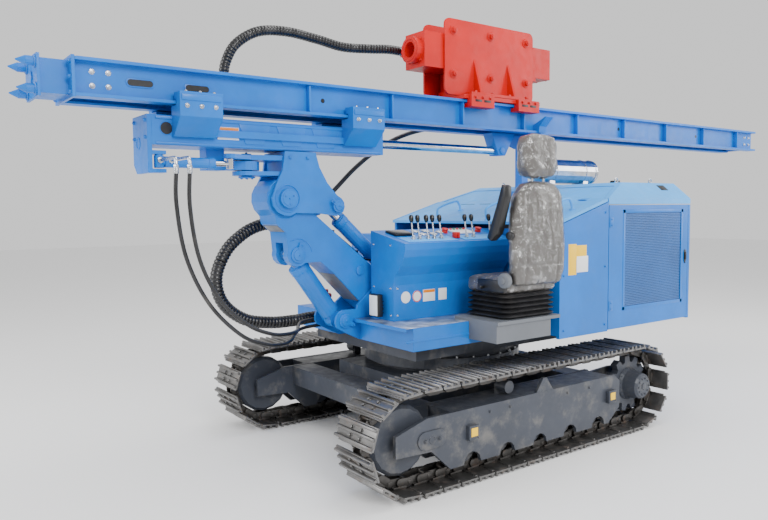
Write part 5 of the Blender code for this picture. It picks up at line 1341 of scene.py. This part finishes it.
def boom_details():
    """Pin ends, edge bands, pipes and welds of the boom and its bracket."""
    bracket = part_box("boom_bracket")[1].y
    pins = Shape()
    pin_end(pins, 1.20, bracket, 0.93, 1, 0.045, (1, 0.6))
    pin_end(pins, 1.602, bracket, 0.874, 1, 0.032, (-1, -0.5))
    pin_end(pins, 0.856, bracket, 0.883, 1, 0.030, (1, 0.2))
    pins.mirrored().make("bracket_pins", BLUE, "upper", "blue")
    lift = Shape()
    pin_end(lift, 1.92, 0.105, 1.309, 1, 0.034, (-0.3, 1))
    lift.bar((1.467, 0.1045, 1.190), (1.467, 0.116, 1.190), 0.030, steps=32, bevel=0.002)
    lift.ring((2.0, 0.105, HEAD_PIN_Z), (0, 1, 0), 0.118, 0.004, steps=48)
    lift.mirrored().make("boom_pins", BLUE, "boom", "blue")
    band = Shape()
    for start, end in (((2.052, 1.492), (2.003, 1.452)), ((1.655, 1.176), (1.466, 0.987))):
        along = Vector((end[0] - start[0], 0, end[1] - start[1]))
        a, b = Vector((start[0], 0, start[1])), Vector((end[0], 0, end[1]))
        across = Vector((0, 1, 0))
        turn = Matrix((along.normalized(), across, along.normalized().cross(across))).transposed()
        half = along.length / 2
        band.box((-half, -0.092, -0.001), (half, 0.092, 0.0015), 0.0004,
                 matrix=Matrix.Translation((a + b) / 2) @ turn.to_4x4())
    band.make("boom_edge_bands", LIGHT, "boom", "light_grey")
    pipes = Shape()
    for y in (-0.045, 0.045):
        route = [(1.30, y, 1.245), (1.40, y, 1.262), (1.50, y, 1.342), (1.66, y, 1.463), (1.78, y, 1.562)]
        pipes.tube(smooth_route(route, 0.02), 0.008, sides=10)
        for x, z in ((1.46, 1.310), (1.64, 1.448)):
            pipes.box((x - 0.014, y - 0.016, z - 0.018), (x + 0.014, y + 0.016, z + 0.008), 0.002)
    pipes.make("boom_pipes", BLACK, "boom", "black")
    welds = Shape()
    for sign in (-1, 1):
        route = [(x, sign * 0.1055, z) for x, z in arc((1.92, 1.309), 0.100, 60, 170, 10)]
        welds.tube(route, 0.003, sides=8)
    welds.make("boom_welds", BLUE, "boom", "blue")


def dress_cylinder(name, foot, eye, barrel_end, radius, rod_radius, body):
    """The gland at a barrel's mouth, its two ports and the pipe between them."""
    foot, eye = Vector((foot[0], 0, foot[1])), Vector((eye[0], 0, eye[1]))
    along = (eye - foot).normalized()
    out = Vector((0, -1, 0))
    rear_port, front_port = 0.085, barrel_end - 0.055
    gland = Shape()
    mouth = foot + along * barrel_end
    gland.bar(mouth - along * 0.040, mouth + along * 0.006, radius * 1.05, steps=40, bevel=0.003)
    gland.bar(mouth + along * 0.004, mouth + along * 0.014, rod_radius * 1.5, steps=32, bevel=0.002)
    for distance in (rear_port, front_port):
        port = foot + along * distance
        gland.bar(port + out * radius * 0.9, port + out * (radius + 0.020), 0.013, steps=20, bevel=0.001)
        gland.bar(port + out * (radius + 0.018), port + out * (radius + 0.032), 0.012, steps=6, bevel=0.001)
    gland.make(f"{name}_gland", BLUE, body, "blue")
    pipe = Shape()
    base = foot + out * (radius + 0.028)
    route = [base + along * distance for distance in (rear_port, 0.12, barrel_end - 0.09, front_port)]
    pipe.tube(smooth_route(route, 0.02), 0.006, sides=10)
    pipe.make(f"{name}_pipe", BLACK, body, "black")


def head_details():
    """Pin ends and bolts of the head bracket, and the covers over the head pin."""
    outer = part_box("head_bracket")[1].y - 0.018
    pins = Shape()
    pin_end(pins, 1.656, outer + 0.017, 1.607, 1, 0.026, (1, 0.8))
    for x, z in ((1.86, 1.90), (1.98, 1.90)):
        pins.bolt((x, outer - 0.0005, z), (0, 1, 0), 0.018)
    pins.ring((2.0, outer + 0.001, HEAD_PIN_Z), (0, 1, 0), 0.080, 0.004, steps=48)
    pins.mirrored()
    pins.bolt((2.20, 0, 1.920), (0, 0, 1), 0.012)
    pins.bar((2.20, 0, 1.776), (2.20, 0, 1.786), 0.050, steps=40, bevel=0.003)
    pins.bolt_circle((2.20, 0, 1.777), (0, 0, -1), 0.036, 6, 0.010)
    pins.make("head_pins", BLUE, "head", "blue")
    cap = Shape()
    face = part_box("head_pin")[1].y
    cap.bar((2.0, face - 0.001, HEAD_PIN_Z), (2.0, face + 0.004, HEAD_PIN_Z), 0.046, steps=40, bevel=0.002)
    cap.bar((2.0, face + 0.003, HEAD_PIN_Z), (2.0, face + 0.010, HEAD_PIN_Z), 0.007, 0.005, steps=12)
    cap.bolt_circle((2.0, face + 0.004, HEAD_PIN_Z), (0, 1, 0), 0.032, 3, 0.009, 0.5)
    cap.mirrored().make("head_pin_covers", BLUE, "leveller", "blue")


boom_details()
dress_cylinder("lift_cylinder", (1.602, 0.874), (1.92, 1.309), 0.445, 0.062, 0.032, "lift_barrel")
dress_cylinder("tilt_cylinder", (0.856, 0.883), (1.656, 1.607), 0.949, 0.050, 0.028, "tilt_barrel")
head_details()


# ---------------------------------------------------------------- carrier and mast
def carrier_details():
    """Trim, bolts and labels of the slide frame, and the elbows of the front hoses."""
    low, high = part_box("slide_frame")
    trim, bolts, label, hole_shade = Shape(), Shape(), Shape(), Shape()
    y, z = high.y, high.z
    trim.box((low.x + 0.02, y - 0.001, z - 0.022), (high.x - 0.02, y + 0.007, z - 0.006), 0.002)
    trim.box((low.x + 0.02, y - 0.001, 1.944), (high.x - 0.02, y + 0.005, 1.956), 0.002)
    for x in (1.72, 1.96, 2.20):
        outline = [(x - 0.10, z - 0.02), (x + 0.10, z - 0.02), (x + 0.06, 1.965), (x - 0.06, 1.965)]
        trim.prism(outline, "XZ", y - 0.001, y + 0.004, 0.0015)
    clamp_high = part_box("guide_clamps_left")[1]
    for x in (1.40, 1.48, 1.56, 2.49, 2.57, 2.65):
        bolts.bolt((x, clamp_high.y - 0.0005, 2.140), (0, 1, 0), 0.018)
        bolts.bolt((x, clamp_high.y - 0.020, clamp_high.z - 0.0005), (0, 0, 1), 0.014)
    for x0, x1 in ((1.36, 1.60), (2.45, 2.69)):
        trim.box((x0 + 0.01, clamp_high.y - 0.001, 2.168), (x1 - 0.01, clamp_high.y + 0.005, 2.200), 0.002)
    trim.mirrored().make("carrier_trim", BLUE, "carrier", "blue")
    bolts.mirrored().make("clamp_bolts", BRIGHT, "carrier", "chrome")
    end_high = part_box("carrier_end_plate")[1]
    plate_bolts = Shape()
    for y in (-0.09, 0.09):
        for z in (1.98, 2.07):
            plate_bolts.bolt((end_high.x - 0.0005, y, z), (1, 0, 0), 0.016)
    plate_bolts.ring((end_high.x, -0.03, 1.955), (1, 0, 0), 0.030, 0.004)
    plate_bolts.make("end_plate_bolts", BLUE, "carrier", "blue")
    label.box((2.30, high.y - 0.0002, 1.985), (2.43, high.y + 0.0012, 2.055), 0.0004)
    label.box((2.33, -high.y - 0.0012, 1.985), (2.43, -high.y + 0.0002, 2.055), 0.0004)
    label.make("carrier_labels", WHITE, "carrier")
    stripe = Shape()
    stripe.box((2.302, high.y + 0.0008, 2.038), (2.428, high.y + 0.0018, 2.053), 0.0003)
    stripe.make("carrier_label_stripe", ORANGE, "carrier")
    # A black disc where the hole is: painted shade of the opening, inside a blue rim.
    hole_shade.bar((2.72, high.y - 0.004, 2.03), (2.72, high.y + 0.0008, 2.03), 0.034, steps=40)
    hole_shade.mirrored().make("carrier_hole_shade", BLACK, "carrier", "black")
    rims = Shape()
    rims.ring((2.72, high.y + 0.0005, 2.03), (0, 1, 0), 0.036, 0.003, steps=40)
    rims.mirrored().make("carrier_hole_rims", BLUE, "carrier", "blue")
    elbow = Shape()
    for x, y, z in ((2.76, 0.360, 1.858), (2.70, 0.390, 1.858)):
        route = [(x, 0.118, z), (x, 0.20, z), (x, y - 0.035, z), (x, y - 0.006, z - 0.008), (x, y, z - 0.034)]
        elbow.tube(smooth_route(route, 0.012), 0.0095, sides=12)
        elbow.bar((x, 0.117, z), (x, 0.135, z), 0.018, steps=6, bevel=0.001)
    elbow.make("swing_hose_elbows", BRIGHT, "carrier", "chrome")
    swing = Shape()
    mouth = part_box("swing_cylinder_barrel")[0].x
    swing.bar((mouth - 0.004, 0.10, 1.85), (mouth + 0.035, 0.10, 1.85), 0.0325, steps=32, bevel=0.002)
    swing.bar((2.76, 0.10, 1.881), (2.76, 0.10, 1.889), 0.020, steps=24, bevel=0.001)
    swing.make("swing_cylinder_gland", BLUE, "swing_barrel", "blue")


def mast_details():
    """Ribs, bolts, slots and wear strips of the mast with black painted shade in its slots and holes, its foot
    bolts and the feed rod with its lug.
    """
    low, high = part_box("mast_beam")
    top = high.z
    bolts, plates, painted_hole_shade = Shape(), Shape(), Shape()
    web = 0.142
    for i in range(9):
        x = -3.1 + i * 0.62
        plates.box((x - 0.006, web - 0.001, 2.172), (x + 0.006, 0.180, top - 0.018), 0.0015)
    for x in (-3.38, -3.30, 3.02, 3.10):
        for z in (2.215, 2.285):
            bolts.bolt((x, web - 0.0005, z), (0, 1, 0), 0.020)
    # Blue slot rims; inside them and in the round holes, black painted shade of the openings.
    for x in (2.86, 2.55):
        plates.prism(slot(x, 2.250, 0.05, 0.024), "XZ", web - 0.001, web + 0.004, 0.001)
        painted_hole_shade.prism(slot(x, 2.250, 0.05, 0.017), "XZ", web + 0.002, web + 0.0046)
    for x in (-2.4, -1.2, 1.75):
        painted_hole_shade.bar((x, web - 0.002, 2.250), (x, web + 0.0008, 2.250), 0.014, steps=28)
    plates.mirrored().make("mast_ribs", BLUE, "mast", "blue")
    bolts.mirrored().make("mast_bolts", BRIGHT, "mast", "chrome")
    painted_hole_shade.mirrored().make("mast_hole_shade", BLACK, "mast", "black")
    rails = Shape()
    rails.box((low.x + 0.01, 0.150, top - 0.0005), (3.18, 0.186, top + 0.0022), 0.0006)
    rails.mirrored().make("mast_wear_strips", BLUE, "mast", "blue")
    foot = Shape()
    for y in (-0.165, 0.165):
        for z in (2.175, 2.25, 2.325):
            foot.bolt((3.206, y, z), (1, 0, 0), 0.020)
    for y in (-0.105, 0.105):
        for z in (2.184, 2.316):
            foot.ring((3.3555, y, z), (1, 0, 0), 0.027, 0.006, steps=28)
    foot.bar((3.352, 0, 2.25), (3.360, 0, 2.25), 0.035, steps=40, bevel=0.002)
    foot.make("mast_foot_bolts", BLUE, "mast", "blue")
    feed = Shape()
    feed.bar((1.245, 0, FEED_Z), (1.262, 0, FEED_Z), 0.050, steps=40, bevel=0.003)
    feed.make("feed_gland", BLUE, "carrier", "blue")
    rod_low, rod_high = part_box("feed_rod")
    lug, rod = Shape(), Shape()
    outline = [(rod_low.x, rod_high.z), (0.070, rod_low.z), (0.145, rod_low.z), (0.215, rod_high.z)]
    lug.prism(outline, "XZ", rod_low.y, rod_high.y, 0.005)
    lug.bar((0.108, -0.058, FEED_Z), (0.108, 0.058, FEED_Z), 0.026, steps=32, bevel=0.003)
    rod.bar((0.10, 0, FEED_Z), (rod_high.x, 0, FEED_Z), 0.030, steps=48)
    lug_piece = lug.make("feed_rod_lug", BLUE, "mast", "blue")
    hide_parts("feed_rod")
    rod.make("feed_rod_bar", CHROME, "mast", "chrome")


# ---------------------------------------------------------------- hammer
def hammer_details():
    """Bolts, rings and lifting eyes of the hammer, black painted shade in its clamp windows, and its hose
    coupling.
    """
    face = 0.120
    bolts, trim, painted_hole_shade = Shape(), Shape(), Shape()
    for x in (-0.07, 0.30, 0.66):
        for z in (2.53, 2.83):
            bolts.bar((x, face - 0.001, z), (x, face + 0.005, z), 0.034, steps=36, bevel=0.002)
            bolts.bolt((x, face + 0.004, z), (0, 1, 0), 0.036)
    for x in (-0.02, 0.16, 0.33, 0.50):
        bolts.bolt((x, 0.176, 2.4045), (0, 0, 1), 0.022)
    for x in (0.02, 0.49):
        for dx in (-0.07, 0.0, 0.07):
            bolts.bolt((x + dx, 0.2405, 2.362), (0, 1, 0), 0.016)
        # Thin black strips where the clamp windows are: painted shade of the openings.
        painted_hole_shade.box((x - 0.075, 0.2400, 2.330), (x - 0.010, 0.2412, 2.347), 0.0004)
        painted_hole_shade.box((x + 0.010, 0.2400, 2.330), (x + 0.075, 0.2412, 2.347), 0.0004)
    bolts.mirrored().make("hammer_bolts", RED, "hammer", "red")
    painted_hole_shade.mirrored().make("hammer_clamp_window_shade", BLACK, "hammer", "black")
    trim.ring((0.959, 0, RAM_Z), (1, 0, 0), 0.073, 0.008, steps=48)
    trim.ring((0.905, 0, RAM_Z), (1, 0, 0), 0.093, 0.006, steps=48)
    for i in range(4):
        angle = math.pi / 4 + math.pi / 2 * i
        trim.bolt((0.9095, 0.085 * math.cos(angle), RAM_Z + 0.1015 * math.sin(angle)), (1, 0, 0), 0.020)
    for z in (2.60, 2.80):
        trim.bolt((-0.379, 0.05, z), (-1, 0, 0), 0.018)
        trim.bolt((-0.379, -0.05, z), (-1, 0, 0), 0.018)
    trim.make("hammer_trim", RED, "hammer", "red")
    eyes = Shape()
    for x in (0.0, 0.60):
        eyes.ring((x, 0.1125, 2.895 - 0.010), (0, 1, 0), 0.016, 0.004, steps=24)
    eyes.mirrored().make("hammer_lifting_eyes", RED, "hammer", "red")
    coupling = Shape()
    coupling.bar((0.884, -0.168, 2.705), (0.902, -0.168, 2.705), 0.030, steps=6, bevel=0.002)
    coupling.make("hammer_coupling", BRIGHT, "hammer", "chrome")


def coupling_details():
    """Red quick coupling in front of the deck."""
    tee = Shape()
    tee.bar((1.545, -0.205, 0.955), (1.545, -0.205, 1.045), 0.026, steps=28, bevel=0.003)
    tee.bar((1.545, -0.205, 1.0), (1.600, -0.205, 1.0), 0.020, steps=28, bevel=0.003)
    tee.bar((1.498, -0.205, 1.0), (1.545, -0.205, 1.0), 0.018, steps=6, bevel=0.002)
    tee.bar((1.545, -0.205, 0.900), (1.545, -0.205, 0.958), 0.012, steps=16)
    tee.make("red_coupling", RED, "upper", "red")


carrier_details()
mast_details()
hammer_details()
coupling_details()
